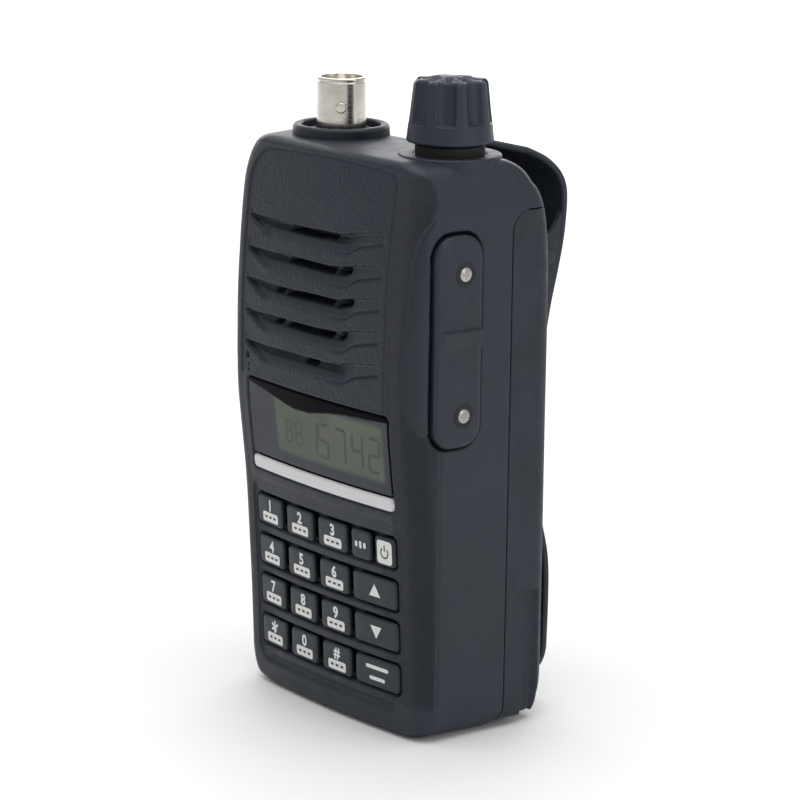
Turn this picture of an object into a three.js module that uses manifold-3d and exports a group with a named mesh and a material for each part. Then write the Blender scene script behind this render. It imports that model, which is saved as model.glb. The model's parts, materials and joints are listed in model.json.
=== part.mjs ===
// Handheld aviation radio: case, keypad, display, volume knob, BNC aerial socket, battery pack and belt clip.
// Millimetres. X points right as the front is seen, Y points to the back, Z points up.
// The origin is the centre of the bottom face, on which the radio stands.
import * as THREE from "three";
import { mergeVertices } from "three/addons/utils/BufferGeometryUtils.js";
import Module from "manifold-3d";

const wasm = await Module();
wasm.setup();

// ---- Driving dimensions ----

const GAP = 0.3; // between pieces that touch
const WALL = 2; // case wall
const HALF_WIDTH = 29.3;
const BOTTOM_HALF_WIDTH = 28.9; // the sides draw in slightly towards the bottom
const CASE_TOP = 111;
const FRONT_Y = -16.6;
const BACK_Y = 19.6;
const FRONT_CORNER = 4; // corner radii seen from above
const BACK_CORNER = 4;
const TOP_EDGE = 1.6; // edge radii all the way round
const BOTTOM_EDGE = 2;
// Rounded shoulders seen from the front: how far they draw in, and over what height. They fade
// from full at the front to FADE of that at the back.
const TOP_SHOULDER = { inward: 7.6, height: 10.5, fade: 0.25 };
const BOTTOM_SHOULDER = { inward: 5, height: 7, fade: 0.3 };
const CROWN_RADIUS = 227; // the front is slightly rounded across its width
const FAR = 60; // longer than anything that a cutting shape has to pass through

// Depth of the front and of the back at their heights: [z, y].
const FRONT_PROFILE = [
  [0, -12.2],
  [20, -13],
  [42, -14.3],
  [54, -15.7],
  [62, -16.6],
  [80, -16.5],
  [94, -15.6],
  [105, -14.2],
  [CASE_TOP, -13],
];
const BACK_PROFILE = [
  [0, 16.4],
  [1.4, 18.2],
  [4, 19.3],
  [7, BACK_Y],
  [80, BACK_Y],
  [92, 19.4],
  [101, 18.4],
  [105, 16.9],
  [108, 14.4],
  [110, 11],
  [CASE_TOP, 7],
];

// Battery pack: everything behind the seam.
const SEAM_Y = 9.05;
const SEAM_GAP = 0.15; // each side of the seam
const PACK_TOP = 101.1;
const PACK_BOTTOM = 1.4;
const SEAM_RADIUS = 4;
const PACK_WALL = 1.8;
const CHARGE_NOTCH = { y0: 13.4, y1: 16.8, z1: 26.5, depth: 0.9 };

// Latch plate under the pack, level with the bottom of the case.
const LATCH = { halfWidth: 23.5, y0: 5.4, y1: 14, z1: 1.1 };

// Display window and trim bar share one pocket in the front.
const WINDOW = { halfWidth: 22.4, z0: 47.9, z1: 63.4, radius: 1.2 };
const TRIM_BAR = { z0: 44.8, z1: 47.6 };
const POCKET_DEPTH = 1.5;
const LCD_OPENING = { halfWidth: 18.5, z0: 50, z1: 60.5 };

// Keypad.
const KEY_ROWS = [36.45, 28.05, 19.75, 11.35];
const NUMBER_COLUMNS = [-17.8, -7.2, 3.5];
const SIDE_COLUMN = 15.65;
const KEY_HEIGHT = 5.8;
const NUMBER_KEY_WIDTH = 8.9;
const WIDE_KEY_WIDTH = 12.5;
const SMALL_KEY_WIDTH = 5.6;
const SMALL_KEY_SHIFT = 3.45;
const KEY_RADIUS = 0.9;
const KEY_PROUD = 0.45;
const KEY_DEPTH = 3.2;
const KEY_CLEARANCE = 0.3;
const KEY_RECESS = { halfWidth: 23.4, z0: 5, z1: 42.6, radius: 3.4, depth: 0.5 };
const KEY_MAT = { halfWidth: 23.4, z0: 7, z1: 42.4, y0: 4.4, y1: 5.2 };

// Loudspeaker louvres: five shallow wing-shaped channels, each with one to three slots right through.
const LOUVRE_TOP = 95.6;
const LOUVRE_PITCH = 6.2;
const LOUVRE_DEPTH = 1.1;
const SLOT_HEIGHT = 1.2;
// The slots that go right through in each louvre, from the top one down.
const LOUVRE_SLOTS = [
  [[-9.9, 4.7]],
  [[-9.8, 4.9], [6.3, 9.9]],
  [[-13.8, -11.4], [-9.7, 5], [6.6, 11]],
  [[-13.8, -11.4], [-9.3, 5.2], [7, 9.2]],
  [[-3.5, 0.5]],
];

// Speaker and microphone.
const SPEAKER = { z: 83, radius: 16, y0: -10.4, y1: -7.6, magnetRadius: 9, magnetY: -3.8 };
const MIC = { x: -21, z: 66.8, radius: 2.7, holeX: -22.2, holeZ: 67.6, holeRadius: 0.6 };

// Side jacks under a screwed cover, right-hand side.
const COVER = { y0: -10.3, y1: 0.9, z0: 57.6, z1: 97.9, radius: 4.2, x0: 28, x1: 30.3 };
const COVER_RIDGE = { y0: -9.4, z0: 77, z1: 80, x1: 31 };
const COVER_SCREW_Y = -3.5;
const COVER_SCREWS = { upper: 90.6, lower: 63.7 };
const JACK_Y = -4.6;
const JACKS = { mic: { z: 84, bore: 1.25 }, speaker: { z: 71, bore: 1.75 } };

// Push-to-talk button, left-hand side.
const PTT = { y0: -6.4, y1: 4.4, z0: 62, z1: 98, radius: 4, outer: 30.9, inner: 27.2 };
const PTT_RIBS = 5;

// Volume control, top right.
const KNOB = { x: 18.5, y: 1.8, z0: 113.5, z1: 125.8, skirt: 8.25, crown: 7.1, flutes: 8 };
const BOSS = { radius: 9.75, z0: 102, z1: 111.3 };
const NECK = { radius: 6.6, z0: 111.6, z1: 113.2 };
const SHAFT_RADIUS = 2.1;
const BUSHING_RADIUS = 3.4;

// Aerial socket, top left.
const BNC = { x: -13.9, y: 0.8, radius: 4.83, bore: 4.1, z1: 122.1, lugZ: 116.6, lugAngle: -38 };
const COLLAR = { outer: 9.4, inner: 7.7, z1: 113 };

// Belt clip on the back of the pack.
const CLIP_PIVOT = { y: 23.2, z: 90 };
const CLIP_HALF_WIDTH = 22.3;
const CLIP_TIP_HALF_WIDTH = 20;
const CLIP_THICKNESS = 1.4;
const CLIP_PIN_RADIUS = 1.2;
const CLIP_EAR = { inner: 18.6, outer: 20.4, radius: 2.1 };
// Outer side of the clip seen from the side, from its upper end down: [y, z].
const CLIP_PROFILE = [
  [22.9, 110.2],
  [25.4, 108.4],
  [27.2, 105.6],
  [28, 101.7],
  [27.9, 96.7],
  [27.4, 92],
  [26.3, 86.4],
  [24.8, 79.5],
  [23.8, 72],
  [23.5, 60],
  [23.6, 44],
  [24.6, 37.5],
  [26.5, 30],
  [27.1, 22],
  [27, 8],
  [26.3, 3.5],
];

// Colours.
const CHARCOAL = 0x23262b;
const BLACK = 0x131416;
const RUBBER = 0x1a1b1d;
const NICKEL = 0xb9b4a8;
const STEEL = 0x8f9194;
const BRASS = 0xc2a25a;
const ALUMINIUM = 0xa9abad;

// ---- Solids ----

function solid(geometry) {
  const plain = geometry.index ? geometry.toNonIndexed() : geometry.clone();
  plain.deleteAttribute("normal");
  plain.deleteAttribute("uv");
  const merged = mergeVertices(plain, 1e-4);
  return new wasm.Manifold(
    new wasm.Mesh({
      numProp: 3,
      vertProperties: merged.attributes.position.array,
      triVerts: new Uint32Array(merged.index.array),
    }),
  );
}

function geometryOf(manifold) {
  const mesh = manifold.getMesh();
  const geometry = new THREE.BufferGeometry();
  geometry.setAttribute("position", new THREE.BufferAttribute(mesh.vertProperties, 3));
  geometry.setIndex(new THREE.BufferAttribute(mesh.triVerts, 1));
  geometry.computeVertexNormals();
  return geometry;
}

function cut(body, ...tools) {
  return tools.reduce((left, tool) => left.subtract(tool), body);
}

function join(body, ...others) {
  return others.reduce((whole, other) => whole.add(other), body);
}

function block(x0, x1, y0, y1, z0, z1) {
  const geometry = new THREE.BoxGeometry(x1 - x0, y1 - y0, z1 - z0);
  return solid(geometry.translate((x0 + x1) / 2, (y0 + y1) / 2, (z0 + z1) / 2));
}

// Cylinders along the three axes.
function rodX(radius, x0, x1, y, z, sides = 24) {
  const geometry = new THREE.CylinderGeometry(radius, radius, x1 - x0, sides);
  return solid(geometry.rotateZ(Math.PI / 2).translate((x0 + x1) / 2, y, z));
}

function rodY(radius, y0, y1, x, z, sides = 24) {
  const geometry = new THREE.CylinderGeometry(radius, radius, y1 - y0, sides);
  return solid(geometry.translate(x, (y0 + y1) / 2, z));
}

function rodZ(radius, z0, z1, x, y, sides = 24) {
  const geometry = new THREE.CylinderGeometry(radius, radius, z1 - z0, sides);
  return solid(geometry.rotateX(Math.PI / 2).translate(x, y, (z0 + z1) / 2));
}

// A profile of [radius, z] points, from the bottom up, turned round a vertical axis.
function turned(profile, x, y, sides = 32) {
  const points = profile.map(([radius, z]) => new THREE.Vector2(radius, z));
  return solid(new THREE.LatheGeometry(points, sides).rotateX(Math.PI / 2).translate(x, y, 0));
}

// A ring with a rectangular section: its profile closes on itself.
function ring(inner, outer, z0, z1, x, y, sides = 32) {
  const profile = [
    [inner, z0],
    [outer, z0],
    [outer, z1],
    [inner, z1],
    [inner, z0],
  ];
  return turned(profile, x, y, sides);
}

function roundedRectangle(a0, a1, b0, b1, radius) {
  const shape = new THREE.Shape();
  shape.absarc(a1 - radius, b0 + radius, radius, -Math.PI / 2, 0);
  shape.absarc(a1 - radius, b1 - radius, radius, 0, Math.PI / 2);
  shape.absarc(a0 + radius, b1 - radius, radius, Math.PI / 2, Math.PI);
  shape.absarc(a0 + radius, b0 + radius, radius, Math.PI, 1.5 * Math.PI);
  return shape;
}

function polygon(points) {
  return new THREE.Shape(points.map(([a, b]) => new THREE.Vector2(a, b)));
}

// An outline in X and Z, carried straight from y0 to y1.
function prismY(shape, y0, y1, curveSegments = 4) {
  const options = { depth: y1 - y0, bevelEnabled: false, curveSegments };
  return solid(new THREE.ExtrudeGeometry(shape, options).rotateX(Math.PI / 2).translate(0, y1, 0));
}

// An outline in Y and Z, carried straight from x0 to x1.
function prismX(shape, x0, x1, curveSegments = 4) {
  const options = { depth: x1 - x0, bevelEnabled: false, curveSegments };
  const axes = new THREE.Matrix4().makeBasis(
    new THREE.Vector3(0, 1, 0),
    new THREE.Vector3(0, 0, 1),
    new THREE.Vector3(1, 0, 0),
  );
  return solid(new THREE.ExtrudeGeometry(shape, options).applyMatrix4(axes).translate(x0, 0, 0));
}

// ---- Outer form of the radio ----

function along(stations, z) {
  let i = 0;
  while (i < stations.length - 2 && z > stations[i + 1][0]) i += 1;
  const [z0, y0] = stations[i];
  const [z1, y1] = stations[i + 1];
  const t = THREE.MathUtils.clamp((z - z0) / (z1 - z0), 0, 1);
  return y0 + (y1 - y0) * t;
}

function crown(x) {
  return (x * x) / (2 * CROWN_RADIUS);
}

function frontSurface(x, z) {
  return along(FRONT_PROFILE, z) + crown(x);
}

// Share of a quarter ellipse's width that is lost at a height share from 0 to 1; never quite all of it.
function quarterEllipse(share) {
  const clamped = THREE.MathUtils.clamp(share, 0, 0.97);
  return 1 - Math.sqrt(1 - clamped ** 2);
}

// How far the rounded edge at the top or bottom draws the outline in at a height.
function edgeInset(z) {
  const top = TOP_EDGE * quarterEllipse(1 - (CASE_TOP - z) / TOP_EDGE);
  const bottom = BOTTOM_EDGE * quarterEllipse(1 - z / BOTTOM_EDGE);
  return top + bottom;
}

// deep runs from 0 at the front to 1 at the back.
function shoulderInset(shoulder, share, deep) {
  return shoulder.inward * THREE.MathUtils.lerp(1, shoulder.fade, deep) * quarterEllipse(share);
}

function halfWidthAt(z, deep) {
  const straight = THREE.MathUtils.lerp(BOTTOM_HALF_WIDTH, HALF_WIDTH, Math.min(1, z / CASE_TOP));
  const top = shoulderInset(TOP_SHOULDER, 1 - (CASE_TOP - z) / TOP_SHOULDER.height, deep);
  const bottom = shoulderInset(BOTTOM_SHOULDER, 1 - z / BOTTOM_SHOULDER.height, deep);
  return straight - edgeInset(z) - top - bottom;
}

// Plan outline with rounded corners and a front edge in several steps, so that it can follow the crown.
function planOutline(inset) {
  const half = HALF_WIDTH - inset;
  const front = FRONT_Y + inset;
  const back = BACK_Y - inset;
  const frontSteps = 8;
  const points = [];
  const corner = (x, y, radius, from, steps) => {
    for (let i = 0; i <= steps; i += 1) {
      const angle = from + ((Math.PI / 2) * i) / steps;
      points.push(new THREE.Vector2(x + radius * Math.cos(angle), y + radius * Math.sin(angle)));
    }
  };
  const straight = half - FRONT_CORNER;
  for (let i = 1; i < frontSteps; i += 1) {
    points.push(new THREE.Vector2(THREE.MathUtils.lerp(-straight, straight, i / frontSteps), front));
  }
  corner(straight, front + FRONT_CORNER, FRONT_CORNER, -Math.PI / 2, 4);
  corner(half - BACK_CORNER, back - BACK_CORNER, BACK_CORNER, 0, 3);
  corner(BACK_CORNER - half, back - BACK_CORNER, BACK_CORNER, Math.PI / 2, 3);
  corner(-straight, front + FRONT_CORNER, FRONT_CORNER, Math.PI, 4);
  return new THREE.Shape(points);
}

// The whole outer form, or the same form drawn in by an inset: a straight extrusion whose
// levels are then moved to the widths and depths of the profiles.
function envelope(inset, levels) {
  const options = { depth: 1, steps: levels.length - 1, bevelEnabled: false };
  const geometry = new THREE.ExtrudeGeometry(planOutline(inset), options);
  const position = geometry.attributes.position;
  for (let i = 0; i < position.count; i += 1) {
    const z = levels[Math.round(position.getZ(i) * (levels.length - 1))];
    const across = position.getX(i) / (HALF_WIDTH - inset);
    const deep = (position.getY(i) - FRONT_Y - inset) / (BACK_Y - FRONT_Y - 2 * inset);
    const x = across * (halfWidthAt(z, deep) - inset);
    const draw = inset + edgeInset(z);
    const front = frontSurface(x, z) + draw;
    const back = along(BACK_PROFILE, z) - inset;
    position.setXYZ(i, x, THREE.MathUtils.lerp(front, back - (1 - deep) * crown(x), deep), z);
  }
  return solid(geometry);
}

const OUTER_LEVELS = [0, 0.5, 2, 4.2, 7, 20, 42, 54, 62, 80, 94, 101, 105, 108, 109.8, 110.6, CASE_TOP];
const INNER_LEVELS = [WALL + GAP, 4.2, 7, 20, 42, 54, 62, 80, 94, 101, 105, 107.2, 108.3];

const outerForm = envelope(0, OUTER_LEVELS);

// Everything behind the seam; side = -1 keeps to the pack's side of the gap, +1 to the case's side.
function packRegion(side) {
  const y = SEAM_Y - side * SEAM_GAP;
  const top = PACK_TOP + side * SEAM_GAP;
  const bottom = PACK_BOTTOM - side * SEAM_GAP;
  const shape = new THREE.Shape();
  shape.moveTo(y, bottom);
  shape.lineTo(FAR, bottom);
  shape.lineTo(FAR, top);
  shape.absarc(y + SEAM_RADIUS, top - SEAM_RADIUS, SEAM_RADIUS, Math.PI / 2, Math.PI);
  shape.lineTo(y, bottom);
  return prismX(shape, -FAR, FAR, 5);
}

// A slab that follows the front surface, between two depths below it. It bends where the profile does.
function frontLayer(depth0, depth1) {
  const levels = FRONT_PROFILE.map(([z]) => z);
  levels[0] = -2;
  levels[levels.length - 1] = CASE_TOP + 2;
  const steps = levels.length - 1;
  const geometry = new THREE.BoxGeometry(2 * HALF_WIDTH + 2, depth1 - depth0, 1, 8, 1, steps);
  const position = geometry.attributes.position;
  for (let i = 0; i < position.count; i += 1) {
    const z = levels[Math.round((position.getZ(i) + 0.5) * steps)];
    const depth = position.getY(i) + (depth0 + depth1) / 2;
    position.setXYZ(i, position.getX(i), frontSurface(position.getX(i), z) + depth, z);
  }
  return solid(geometry);
}

// An outline in X and Z, between two depths below the front surface.
function frontPiece(shape, depth0, depth1, curveSegments = 4) {
  return prismY(shape, -FAR, FAR, curveSegments).intersect(frontLayer(depth0, depth1));
}

function centredRectangle(halfWidth, z0, z1, radius, grow = 0) {
  return roundedRectangle(-halfWidth - grow, halfWidth + grow, z0 - grow, z1 + grow, radius + grow);
}

// ---- The scene ----

const radio = new THREE.Group();

function add(name, manifold, color, roughness = 0.6, metalness = 0) {
  const material = new THREE.MeshStandardMaterial({ color, roughness, metalness });
  const mesh = new THREE.Mesh(geometryOf(manifold), material);
  mesh.name = name;
  radio.add(mesh);
  return mesh;
}

// ---- Keys ----

const keyNames = [
  ["key_1", "key_2", "key_3"],
  ["key_4", "key_5", "key_6"],
  ["key_7", "key_8", "key_9"],
  ["key_star", "key_0", "key_hash"],
];
const sideKeyNames = [null, "key_up", "key_down", "key_call"];

const keys = [];
KEY_ROWS.forEach((z, row) => {
  NUMBER_COLUMNS.forEach((x, column) => {
    keys.push({ name: keyNames[row][column], x, z, width: NUMBER_KEY_WIDTH });
  });
  if (row === 0) {
    const width = SMALL_KEY_WIDTH;
    keys.push({ name: "key_monitor", x: SIDE_COLUMN - SMALL_KEY_SHIFT, z, width });
    keys.push({ name: "key_power", x: SIDE_COLUMN + SMALL_KEY_SHIFT, z, width });
  } else {
    keys.push({ name: sideKeyNames[row], x: SIDE_COLUMN, z, width: WIDE_KEY_WIDTH });
  }
});

function keyShape(key, grow) {
  const halfWidth = key.width / 2 + grow;
  const halfHeight = KEY_HEIGHT / 2 + grow;
  const [x0, x1] = [key.x - halfWidth, key.x + halfWidth];
  return roundedRectangle(x0, x1, key.z - halfHeight, key.z + halfHeight, KEY_RADIUS + grow);
}

for (const key of keys) {
  const body = frontPiece(keyShape(key, 0), -KEY_PROUD + KEY_RECESS.depth, KEY_DEPTH, 2);
  add(key.name, body, BLACK, 0.5);
}

const matShape = centredRectangle(KEY_MAT.halfWidth, KEY_MAT.z0, KEY_MAT.z1, 2);
add("keypad_mat", frontPiece(matShape, KEY_MAT.y0, KEY_MAT.y1), RUBBER, 0.8);

// ---- Case ----

// One louvre channel, pointed at its left end, lowest in the middle, upturned at its right end.
function louvreShape(z) {
  return polygon([
    [-23.3, z - 0.2],
    [-22.2, z - 1.3],
    [-16.8, z - 3.4],
    [9.4, z - 3.4],
    [12.3, z - 1.7],
    [18.9, z - 0.2],
    [19.2, z + 2.1],
    [10, z + 0.9],
    [5, z],
    [-19, z],
  ]);
}

function louvreCuts() {
  return LOUVRE_SLOTS.flatMap((slots, i) => {
    const z = LOUVRE_TOP - i * LOUVRE_PITCH;
    const channel = frontPiece(louvreShape(z), -2, LOUVRE_DEPTH);
    const holes = slots.map(([x0, x1]) => block(x0, x1, -FAR, SPEAKER.y0, z - SLOT_HEIGHT - 0.2, z - 0.2));
    return [channel, ...holes];
  });
}

function sideRectangle(spec, grow) {
  const { y0, y1, z0, z1, radius } = spec;
  return roundedRectangle(y0 - grow, y1 + grow, z0 - grow, z1 + grow, radius + grow);
}

function buildFrontCase() {
  const cavity = envelope(WALL, INNER_LEVELS).intersect(block(-FAR, FAR, -FAR, SEAM_Y - 0.6, 0, FAR * 2));
  const backOpening = block(-27, 27, 5, FAR, 4, 98.5);
  const boss = rodZ(BOSS.radius, BOSS.z0, BOSS.z1, KNOB.x, KNOB.y, 32);
  const bossInside = rodZ(BOSS.radius - WALL, BOSS.z0 - 1, CASE_TOP - WALL, KNOB.x, KNOB.y, 24);
  const latchNotch = block(-FAR, FAR, LATCH.y0 - GAP, FAR, -1, PACK_BOTTOM);
  const pocketShape = centredRectangle(WINDOW.halfWidth, TRIM_BAR.z0, WINDOW.z1, WINDOW.radius, 0.25);
  const lcdShape = centredRectangle(LCD_OPENING.halfWidth, LCD_OPENING.z0, LCD_OPENING.z1, 1);
  const keyRecess = centredRectangle(KEY_RECESS.halfWidth, KEY_RECESS.z0, KEY_RECESS.z1, KEY_RECESS.radius);
  const shell = cut(outerForm, packRegion(1)).add(boss);
  return cut(
    shell,
    cavity,
    bossInside,
    backOpening,
    latchNotch,
    rodZ(BNC.radius + 0.2, 100, COLLAR.z1 + 1, BNC.x, BNC.y),
    rodZ(BUSHING_RADIUS + 0.3, 100, BOSS.z1 + 1, KNOB.x, KNOB.y),
    frontPiece(pocketShape, -3, POCKET_DEPTH),
    prismY(lcdShape, -FAR, 0),
    frontPiece(keyRecess, -3, KEY_RECESS.depth),
    ...keys.map((key) => prismY(keyShape(key, KEY_CLEARANCE), -FAR, 0, 2)),
    ...louvreCuts(),
    rodY(MIC.holeRadius, -FAR, 0, MIC.holeX, MIC.holeZ, 8),
    prismX(sideRectangle(COVER, GAP), COVER.x0 - GAP, FAR),
    rodX(2.4, 20, FAR, JACK_Y, JACKS.mic.z, 16),
    rodX(2.9, 20, FAR, JACK_Y, JACKS.speaker.z, 16),
    rodX(1.1, 20, FAR, COVER_SCREW_Y, COVER_SCREWS.upper, 12),
    rodX(1.1, 20, FAR, COVER_SCREW_Y, COVER_SCREWS.lower, 12),
    prismX(sideRectangle(PTT, 0.35), -FAR, -20),
  );
}

add("front_case", buildFrontCase(), CHARCOAL, 0.62);

// ---- Front pieces ----

const windowShape = centredRectangle(WINDOW.halfWidth, WINDOW.z0, WINDOW.z1, WINDOW.radius);
add("display_window", frontPiece(windowShape, 0.1, POCKET_DEPTH - GAP), BLACK, 0.12);

const trimShape = centredRectangle(WINDOW.halfWidth, TRIM_BAR.z0, TRIM_BAR.z1, WINDOW.radius);
add("trim_bar", frontPiece(trimShape, -0.1, POCKET_DEPTH - GAP), 0xb8bbbd, 0.35, 0.6);

add("lcd_module", block(-20.5, 20.5, -11.8, -9.4, 47.5, 62.6), 0x6f7468, 0.4);

function buildSpeaker() {
  const basket = rodY(SPEAKER.radius, SPEAKER.y0, SPEAKER.y1, 0, SPEAKER.z, 32);
  const magnet = rodY(SPEAKER.magnetRadius, SPEAKER.y1 - 1, SPEAKER.magnetY, 0, SPEAKER.z, 24);
  const cone = rodY(SPEAKER.radius - 2, -FAR, SPEAKER.y0 + 1, 0, SPEAKER.z, 32);
  return cut(join(basket, magnet), cone);
}

add("speaker", buildSpeaker(), 0x2b2b2d, 0.5, 0.2);
const clothFront = SPEAKER.y0 - GAP - 0.4;
add("speaker_cloth", rodY(SPEAKER.radius, clothFront, SPEAKER.y0 - GAP, 0, SPEAKER.z, 32), 0x101010, 0.95);
add("microphone", rodY(MIC.radius, -12.8, -9.6, MIC.x, MIC.z, 16), 0x8a8a88, 0.4, 0.7);

// ---- Push-to-talk button ----

function buildPttButton() {
  const pad = prismX(sideRectangle(PTT, 0), -PTT.outer + 0.5, -PTT.inner);
  const raised = { ...PTT, y0: PTT.y0 + 1.2, y1: PTT.y1 - 1.2, z0: PTT.z0 + 1.2, z1: PTT.z1 - 1.2, radius: 3 };
  const face = prismX(sideRectangle(raised, 0), -PTT.outer, -PTT.outer + 1);
  const ribPitch = 2.6;
  const firstRib = (PTT.z0 + PTT.z1) / 2 - ((PTT_RIBS - 1) / 2) * ribPitch;
  const ribs = [];
  for (let i = 0; i < PTT_RIBS; i += 1) {
    const z = firstRib + i * ribPitch;
    ribs.push(block(-PTT.outer - 0.5, -PTT.outer + 0.5, PTT.y0 + 2.4, PTT.y1 - 2.4, z - 0.5, z + 0.5));
  }
  return join(pad, face, ...ribs);
}

add("ptt_button", buildPttButton(), RUBBER, 0.8);
const sealSpec = { ...PTT, y0: PTT.y0 - 1.6, y1: PTT.y1 + 0.5, z0: PTT.z0 - 1.6, z1: PTT.z1 + 1.6 };
add("ptt_seal", prismX(sideRectangle(sealSpec, 0), -26, -25.2), RUBBER, 0.85);
add("ptt_switch", block(-24.8, -21.6, -6, -2.3, 76, 84), 0x2d2d30, 0.5);

// ---- Side jacks and their cover ----

function buildJackCover() {
  const plate = prismX(sideRectangle(COVER, 0), COVER.x0, COVER.x1);
  const ridge = prismX(
    roundedRectangle(COVER_RIDGE.y0, COVER.y1 - 0.4, COVER_RIDGE.z0, COVER_RIDGE.z1, 1.2),
    COVER.x1 - 1,
    COVER_RIDGE.x1,
  );
  const holes = Object.values(COVER_SCREWS).flatMap((z) => [
    rodX(2.15, COVER.x1 - 1.3, FAR, COVER_SCREW_Y, z, 20),
    rodX(1.1, 20, FAR, COVER_SCREW_Y, z, 12),
  ]);
  return cut(plate.add(ridge), ...holes);
}

add("jack_cover", buildJackCover(), CHARCOAL, 0.6);

function buildCoverScrew(z) {
  const head = rodX(1.75, COVER.x1 - 1, COVER.x1 - 0.1, COVER_SCREW_Y, z, 20);
  const shank = rodX(0.8, 24.6, COVER.x1 - 0.9, COVER_SCREW_Y, z, 12);
  const slotDepth = COVER.x1 - 0.55;
  const across = block(slotDepth, FAR, COVER_SCREW_Y - 1, COVER_SCREW_Y + 1, z - 0.25, z + 0.25);
  const upright = block(slotDepth, FAR, COVER_SCREW_Y - 0.25, COVER_SCREW_Y + 0.25, z - 1, z + 1);
  return cut(head.add(shank), across, upright);
}

for (const [place, z] of Object.entries(COVER_SCREWS)) {
  add(`jack_cover_screw_${place}`, buildCoverScrew(z), STEEL, 0.35, 0.9);
}

function buildJack(jack) {
  const outer = jack.bore + 0.9;
  const body = block(17, 25.4, JACK_Y - 2.9, JACK_Y + 2.3, jack.z - 3.2, jack.z + 3.2);
  const nose = rodX(outer, 25, COVER.x0 - GAP - 0.1, JACK_Y, jack.z, 16);
  return cut(join(body, nose), rodX(jack.bore, 18.5, FAR, JACK_Y, jack.z, 16));
}

add("mic_jack", buildJack(JACKS.mic), 0x1c1c1e, 0.5);
add("speaker_jack", buildJack(JACKS.speaker), 0x1c1c1e, 0.5);

// ---- Inside the case ----

const CHASSIS = { halfWidth: 26.6, y0: 6.6, y1: 8.7, z0: 4.5, z1: 98 };
const CONTACT_BLOCK = { halfWidth: 9, z0: 14, z1: 22 };
const CHASSIS_SCREW = { x: 21, z: 92, head: 1.9, shank: 1.1 };

function buildChassis() {
  const plateShape = roundedRectangle(-CHASSIS.halfWidth, CHASSIS.halfWidth, CHASSIS.z0, CHASSIS.z1, 2);
  const plate = prismY(plateShape, CHASSIS.y0, CHASSIS.y1);
  const { halfWidth, z0, z1 } = CONTACT_BLOCK;
  const contactWindow = block(-halfWidth, halfWidth, 0, FAR, z0, z1);
  const panels = [-18, 0, 18].map((x) => block(x - 7, x + 7, CHASSIS.y1 - 0.7, FAR, 30, 82));
  const screwHoles = [-1, 1].flatMap((side) => [
    rodY(CHASSIS_SCREW.head + 0.3, CHASSIS.y1 - 1.1, FAR, side * CHASSIS_SCREW.x, CHASSIS_SCREW.z, 16),
    rodY(CHASSIS_SCREW.shank + 0.3, 0, FAR, side * CHASSIS_SCREW.x, CHASSIS_SCREW.z, 12),
  ]);
  return cut(plate, contactWindow, ...panels, ...screwHoles);
}

add("chassis", buildChassis(), ALUMINIUM, 0.45, 0.9);

for (const [side, sign] of [["left", -1], ["right", 1]]) {
  const x = sign * CHASSIS_SCREW.x;
  const head = rodY(CHASSIS_SCREW.head, CHASSIS.y1 - 0.8, CHASSIS.y1 - 0.05, x, CHASSIS_SCREW.z, 16);
  const shank = rodY(CHASSIS_SCREW.shank, 1.5, CHASSIS.y1 - 0.5, x, CHASSIS_SCREW.z, 12);
  add(`chassis_screw_${side}`, head.add(shank), STEEL, 0.35, 0.9);
}

const gasketOuter = centredRectangle(CHASSIS.halfWidth - 0.2, CHASSIS.z0 + 0.2, CHASSIS.z1 - 0.2, 2);
const gasketInner = centredRectangle(CHASSIS.halfWidth - 1.6, CHASSIS.z0 + 1.6, CHASSIS.z1 - 1.6, 1);
const gasket = cut(prismY(gasketOuter, 5.3, CHASSIS.y0 - GAP), prismY(gasketInner, 0, FAR));
add("case_gasket", gasket, RUBBER, 0.85);

const pcbShape = centredRectangle(25, 7, 90, 1.5);
add("main_pcb", prismY(pcbShape, -2, -0.6), 0x1d5a34, 0.5);
add("shield_can", prismY(roundedRectangle(-21, 12, 30, 74, 1), -0.3, 3.6), 0xb5b5b0, 0.35, 0.9);

function buildContactBlock() {
  const base = block(-8.6, 8.6, 5.6, 8.4, CONTACT_BLOCK.z0 + GAP, CONTACT_BLOCK.z1 - GAP);
  const springs = [-6, -2, 2, 6].map((x) => block(x - 0.8, x + 0.8, 8, 8.9, 15.5, 20.5));
  return join(base, ...springs);
}

add("contact_block", buildContactBlock(), 0x2a2a2c, 0.5);

// ---- Volume control ----

function buildPot() {
  const body = block(KNOB.x - 5.5, KNOB.x + 5.5, KNOB.y - 5, KNOB.y + 3.2, 95, 103);
  const bushing = rodZ(BUSHING_RADIUS, 102, BOSS.z1 - 0.4, KNOB.x, KNOB.y);
  return cut(body.add(bushing), rodZ(SHAFT_RADIUS + 0.15, 99, FAR * 3, KNOB.x, KNOB.y));
}

add("volume_pot", buildPot(), STEEL, 0.4, 0.8);
add("knob_seal", ring(SHAFT_RADIUS + 0.3, NECK.radius, NECK.z0, NECK.z1, KNOB.x, KNOB.y), RUBBER, 0.85);
add("volume_shaft", rodZ(SHAFT_RADIUS, 99.3, KNOB.z1 - 4.4, KNOB.x, KNOB.y), STEEL, 0.35, 0.9);

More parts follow.
